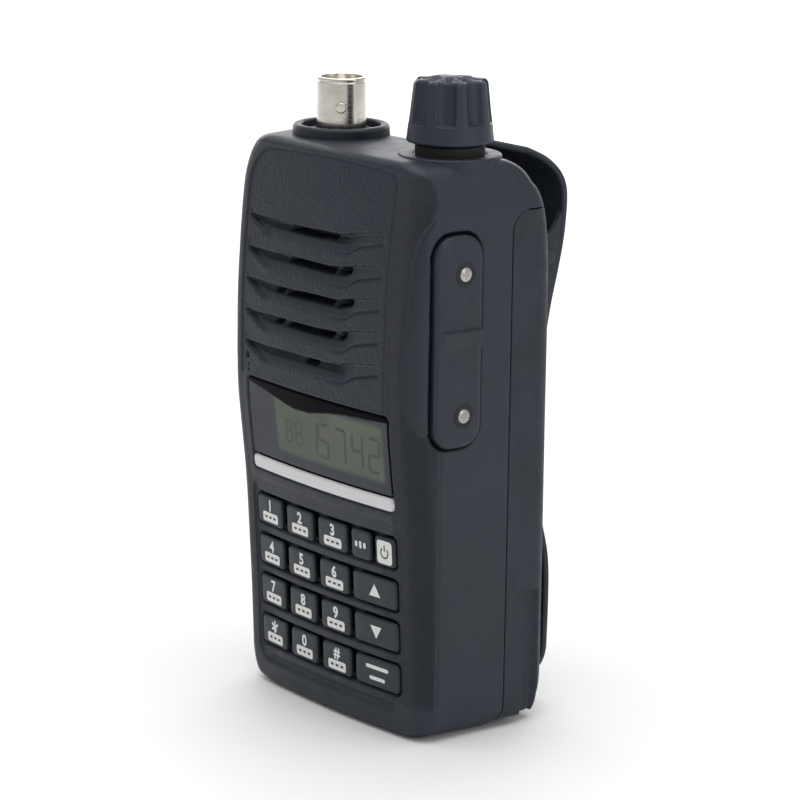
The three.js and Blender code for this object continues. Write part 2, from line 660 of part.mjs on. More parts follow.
// Flutes run down from the top of the knob and end in a ledge above its skirt.
function buildKnob() {
  const body = turned(
    [
      [0, KNOB.z0],
      [KNOB.skirt - 0.3, KNOB.z0],
      [KNOB.skirt, KNOB.z0 + 0.4],
      [KNOB.skirt - 0.25, KNOB.z0 + 3.4],
      [KNOB.crown + 0.1, KNOB.z1 - 2],
      [KNOB.crown - 0.5, KNOB.z1 - 1],
      [KNOB.crown - 1.8, KNOB.z1 - 0.4],
      [2.6, KNOB.z1 - 0.1],
      [0, KNOB.z1],
    ],
    KNOB.x,
    KNOB.y,
    48,
  );
  const cuts = [
    rodZ(SHAFT_RADIUS + 0.3, KNOB.z0 - 1, KNOB.z1 - 4, KNOB.x, KNOB.y),
    rodZ(6.2, KNOB.z0 - 1, KNOB.z0 + 1.2, KNOB.x, KNOB.y),
  ];
  for (let i = 0; i < KNOB.flutes; i += 1) {
    const angle = (2 * Math.PI * (i + 0.5)) / KNOB.flutes;
    const x = KNOB.x + Math.cos(angle) * (KNOB.crown + 1.25);
    const y = KNOB.y + Math.sin(angle) * (KNOB.crown + 1.25);
    cuts.push(rodZ(1.9, KNOB.z0 + 3.8, FAR * 3, x, y, 16));
  }
  return cut(body, ...cuts);
}

add("volume_knob", buildKnob(), CHARCOAL, 0.6);

// ---- Aerial socket, its collar and its gasket ----

function buildBncShell() {
  const tube = turned(
    [
      [0, 104],
      [BNC.radius - 0.2, 104],
      [BNC.radius - 0.2, CASE_TOP + 0.6],
      [BNC.radius, CASE_TOP + 0.8],
      [BNC.radius, BNC.z1 - 0.3],
      [BNC.radius - 0.3, BNC.z1],
      [BNC.bore, BNC.z1],
      [BNC.bore, 113],
      [0, 113],
    ],
    BNC.x,
    BNC.y,
    36,
  );
  const angle = THREE.MathUtils.degToRad(BNC.lugAngle);
  const lugs = [0, Math.PI].map((turn) => {
    const lug = new THREE.CylinderGeometry(1, 1, 1.8, 14);
    lug.rotateZ(Math.PI / 2).translate(BNC.radius, 0, 0).rotateZ(angle + turn);
    return solid(lug.translate(BNC.x, BNC.y, BNC.lugZ));
  });
  return cut(join(tube, ...lugs), rodZ(3.3, 100, FAR * 3, BNC.x, BNC.y));
}

add("bnc_shell", buildBncShell(), NICKEL, 0.25, 1);
add("bnc_insulator", ring(1.2, 3, 105, 118.6, BNC.x, BNC.y, 24), 0xd8cfb8, 0.5);
const contactPin = rodZ(0.9, 102.5, 117.8, BNC.x, BNC.y, 12);
add("bnc_contact", cut(contactPin, rodZ(0.45, 112, FAR * 3, BNC.x, BNC.y, 8)), BRASS, 0.3, 1);
const nut = rodZ(7, 105.2, 107.6, BNC.x, BNC.y, 6);
add("bnc_nut", cut(nut, rodZ(BNC.radius + 0.1, 100, FAR * 3, BNC.x, BNC.y)), NICKEL, 0.35, 1);
const collar = ring(COLLAR.inner, COLLAR.outer, CASE_TOP + GAP, COLLAR.z1, BNC.x, BNC.y);
add("antenna_collar", collar, CHARCOAL, 0.62);
const socketGasket = ring(
  BNC.radius + GAP,
  COLLAR.inner - GAP,
  CASE_TOP + GAP,
  CASE_TOP + 0.9,
  BNC.x,
  BNC.y,
);
add("antenna_gasket", socketGasket, RUBBER, 0.85);

// ---- Battery pack ----

const LID = { halfWidth: 26.4, y0: SEAM_Y + 0.35, y1: 10.8, z0: 5, z1: 95 };
const CELL_RADIUS = 1.5;

function buildBatteryShell() {
  const outside = outerForm.intersect(packRegion(-1));
  const hollow = block(-26.8, 26.8, 0, BACK_Y - PACK_WALL, 4.6, 95.4);
  const notches = [-1, 1].map((side) => {
    const x0 = HALF_WIDTH - CHARGE_NOTCH.depth;
    const [from, to] = side > 0 ? [x0, FAR] : [-FAR, -x0];
    return block(from, to, CHARGE_NOTCH.y0, CHARGE_NOTCH.y1, -1, CHARGE_NOTCH.z1);
  });
  return cut(outside, hollow, ...notches);
}

add("battery_shell", buildBatteryShell(), CHARCOAL, 0.62);

const lidPlate = block(-LID.halfWidth, LID.halfWidth, LID.y0, LID.y1, LID.z0, LID.z1);
const contactPocket = block(-8.8, 8.8, 0, LID.y0 + 0.8, 14, 22);
add("battery_lid", cut(lidPlate, contactPocket), 0x1b1c1e, 0.6);

function buildBatteryContacts() {
  const strip = block(-8.4, 8.4, LID.y0 + 0.45, LID.y0 + 0.7, 14.4, 21.6);
  const pads = [-6, -2, 2, 6].map((x) => block(x - 1.2, x + 1.2, LID.y0 + 0.2, LID.y0 + 0.5, 15, 21));
  return join(strip, ...pads);
}

add("battery_contacts", buildBatteryContacts(), BRASS, 0.3, 0.9);

for (const [side, sign] of [["left", -1], ["right", 1]]) {
  const [x0, x1] = sign > 0 ? [0.4, 26] : [-26, -0.4];
  const cell = prismY(roundedRectangle(x0, x1, 8, 92, CELL_RADIUS), LID.y1 + GAP, BACK_Y - PACK_WALL - GAP);
  add(`battery_cell_${side}`, cell, 0x3c6ea0, 0.5);
}

function buildLatch() {
  const plate = block(-LATCH.halfWidth, LATCH.halfWidth, LATCH.y0, LATCH.y1, 0, LATCH.z1);
  const grips = [0, 1, 2, 3].map((i) => block(-8, 8, 10 + i, 10.4 + i, -1, 0.35));
  return cut(plate, ...grips);
}

add("battery_latch", buildLatch(), CHARCOAL, 0.65);

// ---- Belt clip ----

function clipStrip() {
  const inner = CLIP_PROFILE.map(([y, z], i) => {
    const [ya, za] = CLIP_PROFILE[Math.max(0, i - 1)];
    const [yb, zb] = CLIP_PROFILE[Math.min(CLIP_PROFILE.length - 1, i + 1)];
    const length = Math.hypot(yb - ya, zb - za);
    return [y + ((zb - za) / length) * CLIP_THICKNESS, z - ((yb - ya) / length) * CLIP_THICKNESS];
  });
  return polygon([...CLIP_PROFILE].reverse().concat(inner));
}

// The clip seen from behind: wide at the top with well rounded corners, tapering to a rounded tip.
function clipOutline() {
  const [top, tip] = [CLIP_PROFILE[0][1] + 2, CLIP_PROFILE[CLIP_PROFILE.length - 1][1] - 1];
  const topRadius = 8.6;
  const tipRadius = 8;
  const shape = new THREE.Shape();
  shape.absarc(CLIP_TIP_HALF_WIDTH - tipRadius, tip + tipRadius, tipRadius, -Math.PI / 2, 0);
  shape.absarc(CLIP_HALF_WIDTH - topRadius, top - topRadius, topRadius, 0, Math.PI / 2);
  shape.absarc(topRadius - CLIP_HALF_WIDTH, top - topRadius, topRadius, Math.PI / 2, Math.PI);
  shape.absarc(tipRadius - CLIP_TIP_HALF_WIDTH, tip + tipRadius, tipRadius, Math.PI, 1.5 * Math.PI);
  return shape;
}

function buildClipArm() {
  const leaf = prismX(clipStrip(), -FAR, FAR).intersect(prismY(clipOutline(), 0, FAR, 6));
  const gussetShape = polygon([
    [27.3, 98.5],
    [24.4, 94],
    [21.4, 92.6],
    [21.2, 86],
    [23.4, 76],
    [24.3, 80],
    [26.3, 87],
    [27.2, 92],
  ]);
  const gussets = [
    prismX(gussetShape, CLIP_EAR.outer + GAP, CLIP_HALF_WIDTH - 0.2),
    prismX(gussetShape, 0.2 - CLIP_HALF_WIDTH, -CLIP_EAR.outer - GAP),
  ];
  return cut(join(leaf, ...gussets), rodX(CLIP_PIN_RADIUS + 0.15, -FAR, FAR, CLIP_PIVOT.y, CLIP_PIVOT.z, 20));
}

add("clip_arm", buildClipArm(), CHARCOAL, 0.65);

function buildClipBase() {
  const plateShape = centredRectangle(CLIP_EAR.outer, 76, 93.5, 2);
  const plate = prismY(plateShape, BACK_Y + 0.2, BACK_Y + 1.5);
  const ears = [
    [CLIP_EAR.inner, CLIP_EAR.outer],
    [-CLIP_EAR.outer, -CLIP_EAR.inner],
  ].map(([x0, x1]) => {
    const round = rodX(CLIP_EAR.radius, x0, x1, CLIP_PIVOT.y, CLIP_PIVOT.z, 20);
    const [z0, z1] = [CLIP_PIVOT.z - CLIP_EAR.radius, CLIP_PIVOT.z + CLIP_EAR.radius];
    return round.add(block(x0, x1, BACK_Y + 0.5, CLIP_PIVOT.y, z0, z1));
  });
  return cut(join(plate, ...ears), rodX(CLIP_PIN_RADIUS + 0.15, -FAR, FAR, CLIP_PIVOT.y, CLIP_PIVOT.z, 20));
}

add("clip_base", buildClipBase(), CHARCOAL, 0.65);
add("clip_pin", rodX(CLIP_PIN_RADIUS, -21.9, 21.9, CLIP_PIVOT.y, CLIP_PIVOT.z, 20), STEEL, 0.35, 0.9);
const springCoil = cut(
  rodX(1.85, -8, 8, CLIP_PIVOT.y, CLIP_PIVOT.z, 20),
  rodX(CLIP_PIN_RADIUS + 0.2, -FAR, FAR, CLIP_PIVOT.y, CLIP_PIVOT.z, 20),
);
add("clip_spring", springCoil, STEEL, 0.35, 0.9);

export default radio;
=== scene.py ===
import json
import math

import bmesh
import bpy
import numpy as np
from mathutils import Matrix, Vector


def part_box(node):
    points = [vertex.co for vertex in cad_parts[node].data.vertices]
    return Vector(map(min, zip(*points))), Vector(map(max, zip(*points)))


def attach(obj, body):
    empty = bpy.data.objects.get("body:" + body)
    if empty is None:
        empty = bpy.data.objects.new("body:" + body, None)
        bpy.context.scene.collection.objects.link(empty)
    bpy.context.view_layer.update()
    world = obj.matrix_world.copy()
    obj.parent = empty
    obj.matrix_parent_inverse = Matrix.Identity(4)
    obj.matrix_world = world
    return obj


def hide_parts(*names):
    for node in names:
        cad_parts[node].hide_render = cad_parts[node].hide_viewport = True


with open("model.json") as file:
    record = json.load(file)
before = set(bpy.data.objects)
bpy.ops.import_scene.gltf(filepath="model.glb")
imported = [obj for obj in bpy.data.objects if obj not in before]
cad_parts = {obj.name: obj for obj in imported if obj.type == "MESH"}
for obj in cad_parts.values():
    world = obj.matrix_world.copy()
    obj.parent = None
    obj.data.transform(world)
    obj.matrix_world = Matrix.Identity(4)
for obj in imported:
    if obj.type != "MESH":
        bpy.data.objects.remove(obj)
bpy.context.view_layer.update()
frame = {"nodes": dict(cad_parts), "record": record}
NODES = frame["nodes"]

# Sizes are in millimetres in this script, and MM turns them into Blender's metres.
MM = 0.001

# ---- Outer form of the case, the same formulas as the solid model ----

HALF_WIDTH = 29.3
BOTTOM_HALF_WIDTH = 28.9
CASE_TOP = 111.0
FRONT_Y = -16.6
BACK_Y = 19.6
FRONT_CORNER = 4.0
BACK_CORNER = 4.0
TOP_EDGE = 1.6
BOTTOM_EDGE = 2.0
TOP_SHOULDER = (7.6, 10.5, 0.25)  # inwards, height, share left at the back
BOTTOM_SHOULDER = (5.0, 7.0, 0.3)
CROWN_RADIUS = 227.0
FRONT_PROFILE = [(0, -12.2), (20, -13), (42, -14.3), (54, -15.7), (62, -16.6), (80, -16.5),
                 (94, -15.6), (105, -14.2), (CASE_TOP, -13)]
BACK_PROFILE = [(0, 16.4), (1.4, 18.2), (4, 19.3), (7, BACK_Y), (80, BACK_Y), (92, 19.4),
                (101, 18.4), (105, 16.9), (108, 14.4), (110, 11), (CASE_TOP, 7)]
SEAM_Y = 9.05
SEAM_GAP = 0.16
SEAM_RADIUS = 4.0
PACK_TOP = 101.1
PACK_BOTTOM = 1.5

# ---- Features of the front ----

LOUVRE_TOP = 95.6
LOUVRE_PITCH = 6.2
LOUVRE_COUNT = 5
PANEL = (-24.3, 21.3, 40, 109.5)  # x0, x1, z0, z1 of the leather-grained panel
# The microphone's hole and two dimples under it: x, z, radius, depth.
FRONT_HOLES = [(-22.4, 67.6, 0.55, 1.6), (-21.9, 65.8, 0.3, 0.4), (-21.9, 64.8, 0.3, 0.4)]
PANEL_RADII = (6.5, 2.6)  # its upper corners, left and right


def smoothstep(value, start, end):
    t = np.clip((value - start) / (end - start), 0, 1)
    return t * t * (3 - 2 * t)


def along(stations, z):
    """Piecewise profile with its bends rounded off over a few millimetres."""
    heights, depths = np.array(stations, float).T
    z = np.asarray(z, float)
    reach = np.clip(np.minimum(z - heights[0], heights[-1] - z), 0, 5)
    total = np.zeros_like(z)
    steps = np.linspace(-1, 1, 11)
    for step in steps:
        total += np.interp(z + step * reach, heights, depths)
    return total / len(steps)


def crown(x):
    return np.asarray(x, float) ** 2 / (2 * CROWN_RADIUS)


def front_surface(x, z):
    return along(FRONT_PROFILE, z) + crown(x)


def quarter_ellipse(share):
    return 1 - np.sqrt(1 - np.clip(share, 0, 0.9995) ** 2)


def edge_inset(z):
    top = TOP_EDGE * quarter_ellipse(1 - (CASE_TOP - z) / TOP_EDGE)
    bottom = BOTTOM_EDGE * quarter_ellipse(1 - z / BOTTOM_EDGE)
    return top + bottom


def half_width(z, deep):
    straight = BOTTOM_HALF_WIDTH + (HALF_WIDTH - BOTTOM_HALF_WIDTH) * np.clip(z / CASE_TOP, 0, 1)
    for (inward, height, fade), distance in ((TOP_SHOULDER, CASE_TOP - z), (BOTTOM_SHOULDER, z)):
        straight = straight - inward * (1 + (fade - 1) * deep) * quarter_ellipse(1 - distance / height)
    return straight - edge_inset(z)


def rounded_box_distance(a, b, a0, a1, b0, b1, radius):
    """Signed distance to a rounded rectangle: negative inside."""
    qa = np.abs(a - (a0 + a1) / 2) - (a1 - a0) / 2 + radius
    qb = np.abs(b - (b0 + b1) / 2) - (b1 - b0) / 2 + radius
    outside = np.hypot(np.maximum(qa, 0), np.maximum(qb, 0))
    return outside + np.minimum(np.maximum(qa, qb), 0) - radius


# ---- Objects ----


def make_object(name, points, faces, material, body, replaces=(), smooth=True, attributes=None):
    mesh = bpy.data.meshes.new(name)
    mesh.from_pydata((np.asarray(points, float) * MM).tolist(), [], [list(map(int, f)) for f in faces])
    for key, values in (attributes or {}).items():
        layer = mesh.attributes.new(key, "FLOAT", "POINT")
        layer.data.foreach_set("value", np.asarray(values, np.float32))
    mesh.validate()
    mesh.update()
    mesh.polygons.foreach_set("use_smooth", [smooth] * len(mesh.polygons))
    mesh.materials.append(material)
    piece = bpy.data.objects.new(name, mesh)
    bpy.context.scene.collection.objects.link(piece)
    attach(piece, body)
    if replaces:
        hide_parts(*replaces)
    return piece


def tidy_mesh(piece):
    """Merges points that coincide and turns all faces outwards."""
    work = bmesh.new()
    work.from_mesh(piece.data)
    bmesh.ops.remove_doubles(work, verts=work.verts, dist=0.001 * MM)
    bmesh.ops.recalc_face_normals(work, faces=work.faces)
    work.to_mesh(piece.data)
    work.free()


def grid_faces(rows, columns, wrap=False):
    """Quads of a grid of points that is stored row by row."""
    last = columns if wrap else columns - 1
    row, column = np.meshgrid(np.arange(rows - 1), np.arange(last), indexing="ij")
    following = (column + 1) % columns
    a = row * columns + column
    b = row * columns + following
    return np.stack([a, b, b + columns, a + columns], axis=-1).reshape(-1, 4).tolist()


def turned(profile, x, y, sides=96):
    """Points and faces of a [radius, z] profile turned round a vertical axis."""
    profile = np.array(profile, float)
    angle = np.linspace(0, 2 * math.pi, sides, endpoint=False)
    points = np.stack(
        [
            x + profile[:, :1] * np.cos(angle),
            y + profile[:, :1] * np.sin(angle),
            np.repeat(profile[:, 1:], sides, axis=1),
        ],
        axis=-1,
    ).reshape(-1, 3)
    return points, grid_faces(len(profile), sides, wrap=True)


def rounded_profile(corners, radius=0.25, steps=4):
    """An open profile whose inner corners are rounded with short arcs."""
    corners = np.array(corners, float)
    out = [corners[0]]
    for before, corner, after in zip(corners, corners[1:], corners[2:]):
        first, second = before - corner, after - corner
        reach = min(radius, np.linalg.norm(first) / 2.2, np.linalg.norm(second) / 2.2)
        start = corner + first / np.linalg.norm(first) * reach
        end = corner + second / np.linalg.norm(second) * reach
        for t in np.linspace(0, 1, steps + 1):
            out.append((1 - t) ** 2 * start + 2 * t * (1 - t) * corner + t**2 * end)
    out.append(corners[-1])
    return np.array(out)


# ---- Materials ----


class Shader:
    """Short helper for building a node tree around one Principled BSDF."""

    def __init__(self, name, color=(0.5, 0.5, 0.5), roughness=0.5, metallic=0.0):
        self.material = bpy.data.materials.new(name)
        self.material.use_nodes = True
        self.tree = self.material.node_tree
        self.bsdf = self.tree.nodes["Principled BSDF"]
        self.set("Base Color", (*color, 1))
        self.set("Roughness", roughness)
        self.set("Metallic", metallic)
        if metallic == 0:
            self.set("Specular IOR Level", 0.4)
        coordinates = self.node("ShaderNodeTexCoord")
        scale = self.node("ShaderNodeVectorMath", operation="SCALE")
        scale.inputs["Scale"].default_value = 1 / MM
        self.link(coordinates.outputs["Object"], scale.inputs[0])
        self.place = scale.outputs[0]  # millimetres

    def set(self, socket, value):
        self.bsdf.inputs[socket].default_value = value

    def node(self, kind, **properties):
        made = self.tree.nodes.new(kind)
        for key, value in properties.items():
            setattr(made, key, value)
        return made

    def link(self, source, target):
        self.tree.links.new(source, target)

    def math(self, operation, first, second=0.0, third=None):
        made = self.node("ShaderNodeMath", operation=operation)
        for socket, value in zip(made.inputs, (first, second, third)):
            if isinstance(value, bpy.types.NodeSocket):
                self.link(value, socket)
            elif value is not None:
                socket.default_value = value
        return made.outputs[0]

    def attribute(self, name):
        return self.node("ShaderNodeAttribute", attribute_name=name).outputs["Fac"]

    def noise(self, scale, detail=3.0, roughness=0.55, place=None):
        made = self.node("ShaderNodeTexNoise")
        made.inputs["Scale"].default_value = scale
        made.inputs["Detail"].default_value = detail
        made.inputs["Roughness"].default_value = roughness
        self.link(place or self.place, made.inputs["Vector"])
        return made.outputs[0]

    def cells(self, scale, place=None):
        made = self.node("ShaderNodeTexVoronoi", feature="SMOOTH_F1")
        made.inputs["Scale"].default_value = scale
        self.link(place or self.place, made.inputs["Vector"])
        return made.outputs["Distance"]

    def ramp(self, source, stops):
        made = self.node("ShaderNodeValToRGB")
        ramp = made.color_ramp
        while len(ramp.elements) < len(stops):
            ramp.elements.new(0.5)
        for element, (position, color) in zip(ramp.elements, stops):
            element.position = position
            element.color = (*color, 1)
        self.link(source, made.inputs[0])
        return made.outputs["Color"]

    def remap(self, source, low, high, start=0.3, end=0.7):
        made = self.node("ShaderNodeMapRange")
        for socket, value in (("From Min", start), ("From Max", end), ("To Min", low), ("To Max", high)):
            made.inputs[socket].default_value = value
        self.link(source, made.inputs["Value"])
        return made.outputs["Result"]

    def mix(self, factor, first, second):
        made = self.node("ShaderNodeMix", data_type="RGBA")
        self.link(factor, made.inputs["Factor"])
        for socket, value in ((made.inputs[6], first), (made.inputs[7], second)):
            if isinstance(value, bpy.types.NodeSocket):
                self.link(value, socket)
            else:
                socket.default_value = (*value, 1)
        return made.outputs[2]

    def bump(self, height, distance, strength=1.0):
        made = self.node("ShaderNodeBump")
        made.inputs["Distance"].default_value = distance * MM
        made.inputs["Strength"].default_value = strength
        self.link(height, made.inputs["Height"])
        self.link(made.outputs["Normal"], self.bsdf.inputs["Normal"])
        return made

    def use(self, socket, source):
        self.link(source, self.bsdf.inputs[socket])


def scaled(color, factor):
    return tuple(min(1, c * factor) for c in color)


CHARCOAL = (0.0115, 0.0165, 0.0265)
BLACK = (0.008, 0.0088, 0.0105)


def moulded(name, color, roughness=0.5, grain=2.6, depth=0.05, variation=0.25):
    """Moulded plastic: fine spark-eroded grain, faint cloudiness, and convex edges lightened as a painted
    highlight.
    """
    shader = Shader(name, color, roughness)
    cloud = shader.noise(0.06, 4)
    speck = shader.noise(grain, 2)
    edge = shader.node("ShaderNodeNewGeometry").outputs["Pointiness"]
    tone = shader.ramp(cloud, [(0.3, scaled(color, 1 - variation)), (0.7, scaled(color, 1 + variation))])
    # Painted highlight: convex edges found by pointiness are lightened towards 2.2 times the colour.
    edge_highlight = shader.remap(edge, 0, 0.35, 0.52, 0.62)
    shader.use("Base Color", shader.mix(edge_highlight, tone, scaled(color, 2.2)))
    shader.use("Roughness", shader.remap(shader.noise(0.35, 5), roughness - 0.07, roughness + 0.07))
    shader.bump(speck, depth)
    return shader.material


def case_material():
    """The case: satin plastic with leather grain on the front panel and a fine cross mesh at the corners."""
    shader = Shader("case_skin", CHARCOAL, 0.5)
    leather, mesh, painted_shade = (shader.attribute(n) for n in ("leather", "mesh", "painted_shade"))
    cloud = shader.noise(0.05, 4)
    tone = shader.ramp(cloud, [(0.3, scaled(CHARCOAL, 0.85)), (0.7, scaled(CHARCOAL, 1.15))])
    # Painted highlight: convex edges found by pointiness are lightened towards twice the colour.
    edge = shader.node("ShaderNodeNewGeometry").outputs["Pointiness"]
    edge_highlit_tone = shader.mix(shader.remap(edge, 0, 0.3, 0.53, 0.64), tone, scaled(CHARCOAL, 2.0))
    # Painted shade: near black over the marked louvre slots, microphone hole, key trenches and gaps round
    # cover and button.
    shader.use("Base Color", shader.mix(painted_shade, edge_highlit_tone, (0.002, 0.002, 0.0025)))
    # Leather grain: rounded cells of two sizes.
    cells = shader.math("MULTIPLY", shader.cells(1.5), 0.8)
    small = shader.math("MULTIPLY", shader.noise(2.4, 3), 0.7)
    grain = shader.math("MULTIPLY", shader.math("ADD", cells, small), leather)
    # Cross mesh: two sets of diagonal ribs in the unrolled surface.
    across = shader.attribute("unrolled")
    height = shader.node("ShaderNodeSeparateXYZ")
    shader.link(shader.place, height.inputs[0])
    rib_spacing = 0.62
    pitch = 2 * math.pi / rib_spacing
    ribs = []
    for operation in ("ADD", "SUBTRACT"):
        diagonal = shader.math(operation, across, height.outputs[2])
        ribs.append(shader.math("SINE", shader.math("MULTIPLY", diagonal, pitch)))
    woven = shader.math("MULTIPLY", shader.math("MULTIPLY", *ribs), shader.math("MULTIPLY", mesh, 0.7))
    plain = shader.math("MULTIPLY", shader.noise(3.2, 2), 0.35)
    total = shader.math("ADD", shader.math("ADD", grain, woven), plain)
    shader.bump(total, 0.2)
    base = shader.remap(shader.noise(0.3, 5), 0.43, 0.53)
    rough = shader.math("ADD", base, shader.math("MULTIPLY", leather, 0.06))
    shader.use("Roughness", rough)
    return shader.material


def metal(name, color, roughness, stretch=(1, 1, 1), grain=3.0, depth=0.01):
    """Bare or plated metal: fine directional brushing and patchy dulling."""
    shader = Shader(name, color, roughness, 1.0)
    mapping = shader.node("ShaderNodeMapping")
    mapping.inputs["Scale"].default_value = stretch
    shader.link(shader.place, mapping.inputs["Vector"])
    brushed = shader.noise(grain, 4, place=mapping.outputs[0])
    patch = shader.noise(0.25, 3)
    shader.use("Base Color", shader.ramp(patch, [(0.3, scaled(color, 0.82)), (0.7, scaled(color, 1.08))]))
    shader.use("Roughness", shader.remap(brushed, max(0.04, roughness - 0.08), roughness + 0.1))
    shader.bump(brushed, depth)
    return shader.material


def printed(name, color):
    """Screen-printed ink: slightly uneven white or dark paint."""
    shader = Shader(name, color, 0.55)
    shader.use("Base Color", shader.ramp(shader.noise(1.6, 4), [(0.3, scaled(color, 0.86)), (0.7, color)]))
    shader.bump(shader.noise(4.0, 2), 0.015)
    return shader.material


def lens_material():
    """Display lens: printed dark border and band over a grey-green liquid crystal panel."""
    shader = Shader("display_lens", (0.05, 0.05, 0.05), 0.22)
    band, lcd = shader.attribute("band"), shader.attribute("lcd")
    panel = shader.ramp(shader.noise(0.09, 3), [(0.3, (0.105, 0.118, 0.098)), (0.7, (0.145, 0.158, 0.128))])
    border = shader.ramp(shader.noise(0.12, 3), [(0.3, (0.062, 0.067, 0.074)), (0.7, (0.078, 0.083, 0.09))])
    shader.use("Base Color", shader.mix(band, shader.mix(lcd, border, panel), (0.0025, 0.003, 0.004)))
    shader.use("Roughness", shader.remap(shader.noise(0.5, 5), 0.16, 0.26))
    shader.set("Specular IOR Level", 0.03)
    shader.bump(shader.noise(0.15, 2), 0.01)
    return shader.material


def board_material():
    """Circuit board: solder mask with faint copper tracks beneath."""
    shader = Shader("circuit_board_skin", (0.02, 0.12, 0.05), 0.35)
    tracks = shader.node("ShaderNodeTexBrick")
    tracks.inputs["Scale"].default_value = 0.35
    shader.link(shader.place, tracks.inputs["Vector"])
    tint = shader.mix(tracks.outputs["Fac"], (0.018, 0.11, 0.045), (0.04, 0.2, 0.07))
    shader.use("Base Color", tint)
    shader.bump(tracks.outputs["Fac"], 0.03)
    return shader.material


def cloth_material():
    """Woven dust cloth."""
    shader = Shader("dust_cloth", (0.01, 0.01, 0.01), 0.9)
    weave = shader.node("ShaderNodeTexChecker")
    weave.inputs["Scale"].default_value = 2.5
    shader.link(shader.place, weave.inputs["Vector"])
    shader.use("Base Color", shader.mix(weave.outputs["Fac"], (0.006, 0.006, 0.006), (0.022, 0.022, 0.022)))
    shader.bump(weave.outputs["Fac"], 0.08)
    return shader.material


MATERIALS = {
    "case": case_material(),
    "plastic": moulded("satin_plastic", CHARCOAL, 0.48),
    "coarse": moulded("coarse_plastic", CHARCOAL, 0.55, grain=1.7, depth=0.12),
    "knob": moulded("knob_plastic", scaled(CHARCOAL, 1.5), 0.46, grain=2.2, depth=0.06),
    "key": moulded("key_plastic_skin", (0.009, 0.0175, 0.024), 0.42, grain=3.0, depth=0.03),
    "black": moulded("inner_black", BLACK, 0.6, grain=2.0),
    "rubber": moulded("black_rubber", (0.011, 0.0115, 0.0125), 0.7, grain=1.5, depth=0.09),
    "insulator": moulded("beige_insulator", (0.58, 0.5, 0.36), 0.45, grain=2.0, depth=0.02, variation=0.08),
    "nickel": metal("nickel_plate", (0.74, 0.7, 0.63), 0.2, stretch=(0.2, 0.2, 3), depth=0.006),
    "steel": metal("satin_steel", (0.42, 0.41, 0.4), 0.34),
    "brass": metal("bright_brass", (0.75, 0.55, 0.26), 0.25),
    "cast": metal("cast_aluminium", (0.5, 0.5, 0.51), 0.48, grain=1.2, depth=0.06),
    "ink": printed("white_ink", (0.78, 0.78, 0.76)),
    "dark_ink": printed("dark_ink", (0.03, 0.032, 0.035)),
    "segment": printed("display_segment", (0.052, 0.066, 0.066)),
    "lens": lens_material(),
    "board": board_material(),
    "cloth": cloth_material(),
    "wrap": moulded("cell_wrap_film", (0.05, 0.16, 0.32), 0.3, grain=0.4, depth=0.05),
}


def trim_material():
    """Silver trim bar: satin paint brushed along its length."""
    shader = Shader("silver_trim", (0.62, 0.62, 0.63), 0.36, 0.35)
    mapping = shader.node("ShaderNodeMapping")
    mapping.inputs["Scale"].default_value = (0.08, 1, 6)
    shader.link(shader.place, mapping.inputs["Vector"])
    brushed = shader.noise(2.0, 4, place=mapping.outputs[0])
    shader.use("Base Color", shader.ramp(brushed, [(0.3, (0.52, 0.52, 0.53)), (0.7, (0.68, 0.68, 0.69))]))
    shader.use("Roughness", shader.remap(brushed, 0.3, 0.44))
    shader.bump(brushed, 0.008)
    return shader.material


MATERIALS["trim"] = trim_material()

# Every CAD node gets its finish; the ones that are rebuilt below are hidden by their new pieces.
NODE_FINISH = {
    "case_plastic": "plastic", "key_plastic": "key", "window": "lens", "trim": "trim", "lcd": "black",
    "rubber": "rubber", "nickel": "nickel", "insulator": "insulator", "contact_brass": "brass",
    "steel": "steel", "die_cast": "cast", "circuit_board": "board", "inner_plastic": "black",
    "cloth": "cloth", "cell_wrap": "wrap", "capsule": "steel",
}
for part in frame["record"]["subparts"]:
    node = NODES[part["node"]]
    node.data.materials.clear()
    node.data.materials.append(MATERIALS[NODE_FINISH[part["material_slot"]]])


# ---- Case skin ----


def base_outline(part, seam_depth, columns):
    """Outline in the base plan (before the profiles move it): X, Y and the distance round from the front.

    part "front" runs from the right-hand seam round the front to the left-hand seam, and part "back" the
    other way round. seam_depth is the seam's share of the depth, one value for each height."""
    seam = FRONT_Y + (BACK_Y - FRONT_Y) * seam_depth[:, None]
    side, corner, face = columns
    straight = HALF_WIDTH - (FRONT_CORNER if part == "front" else BACK_CORNER)
    radius = FRONT_CORNER if part == "front" else BACK_CORNER
    sign = -1 if part == "front" else 1
    start = FRONT_Y + radius if part == "front" else BACK_Y - radius
    rows = len(seam_depth)
    t = np.linspace(0, 1, side)[None, :]
    side_y = seam + (start - seam) * t
    side_x = np.full_like(side_y, HALF_WIDTH)
    angle = np.linspace(0, math.pi / 2, corner)[1:-1][None, :]
    corner_x = np.repeat(straight + radius * np.cos(angle), rows, axis=0)
    corner_y = np.repeat(start + sign * radius * np.sin(angle), rows, axis=0)
    face_x = np.repeat(np.linspace(straight, -straight, face)[None, :], rows, axis=0)
    face_y = np.full_like(face_x, start + sign * radius)
    x = np.hstack([side_x, corner_x, face_x, -corner_x[:, ::-1], -side_x[:, ::-1]])
    y = np.hstack([side_y, corner_y, face_y, corner_y[:, ::-1], side_y[:, ::-1]])
    arc = radius * math.pi / 2
    side_w = straight + arc + np.abs(side_y - start)
    corner_w = np.repeat(straight + radius * (math.pi / 2 - angle), rows, axis=0)
    w = np.hstack([side_w, corner_w, face_x, -corner_w[:, ::-1], -side_w[:, ::-1]])
    return x, y, w


def shaped(x_base, y_base, z):
    """Moves base-plan points to the widths and depths of their heights."""
    z = np.repeat(z[:, None], x_base.shape[1], axis=1)
    deep = (y_base - FRONT_Y) / (BACK_Y - FRONT_Y)
    x = x_base / HALF_WIDTH * half_width(z, deep)
    front = front_surface(x, z) + edge_inset(z)
    back = along(BACK_PROFILE, z) - (1 - deep) * crown(x)
    return np.stack([x, front + (back - front) * deep, z], axis=-1)


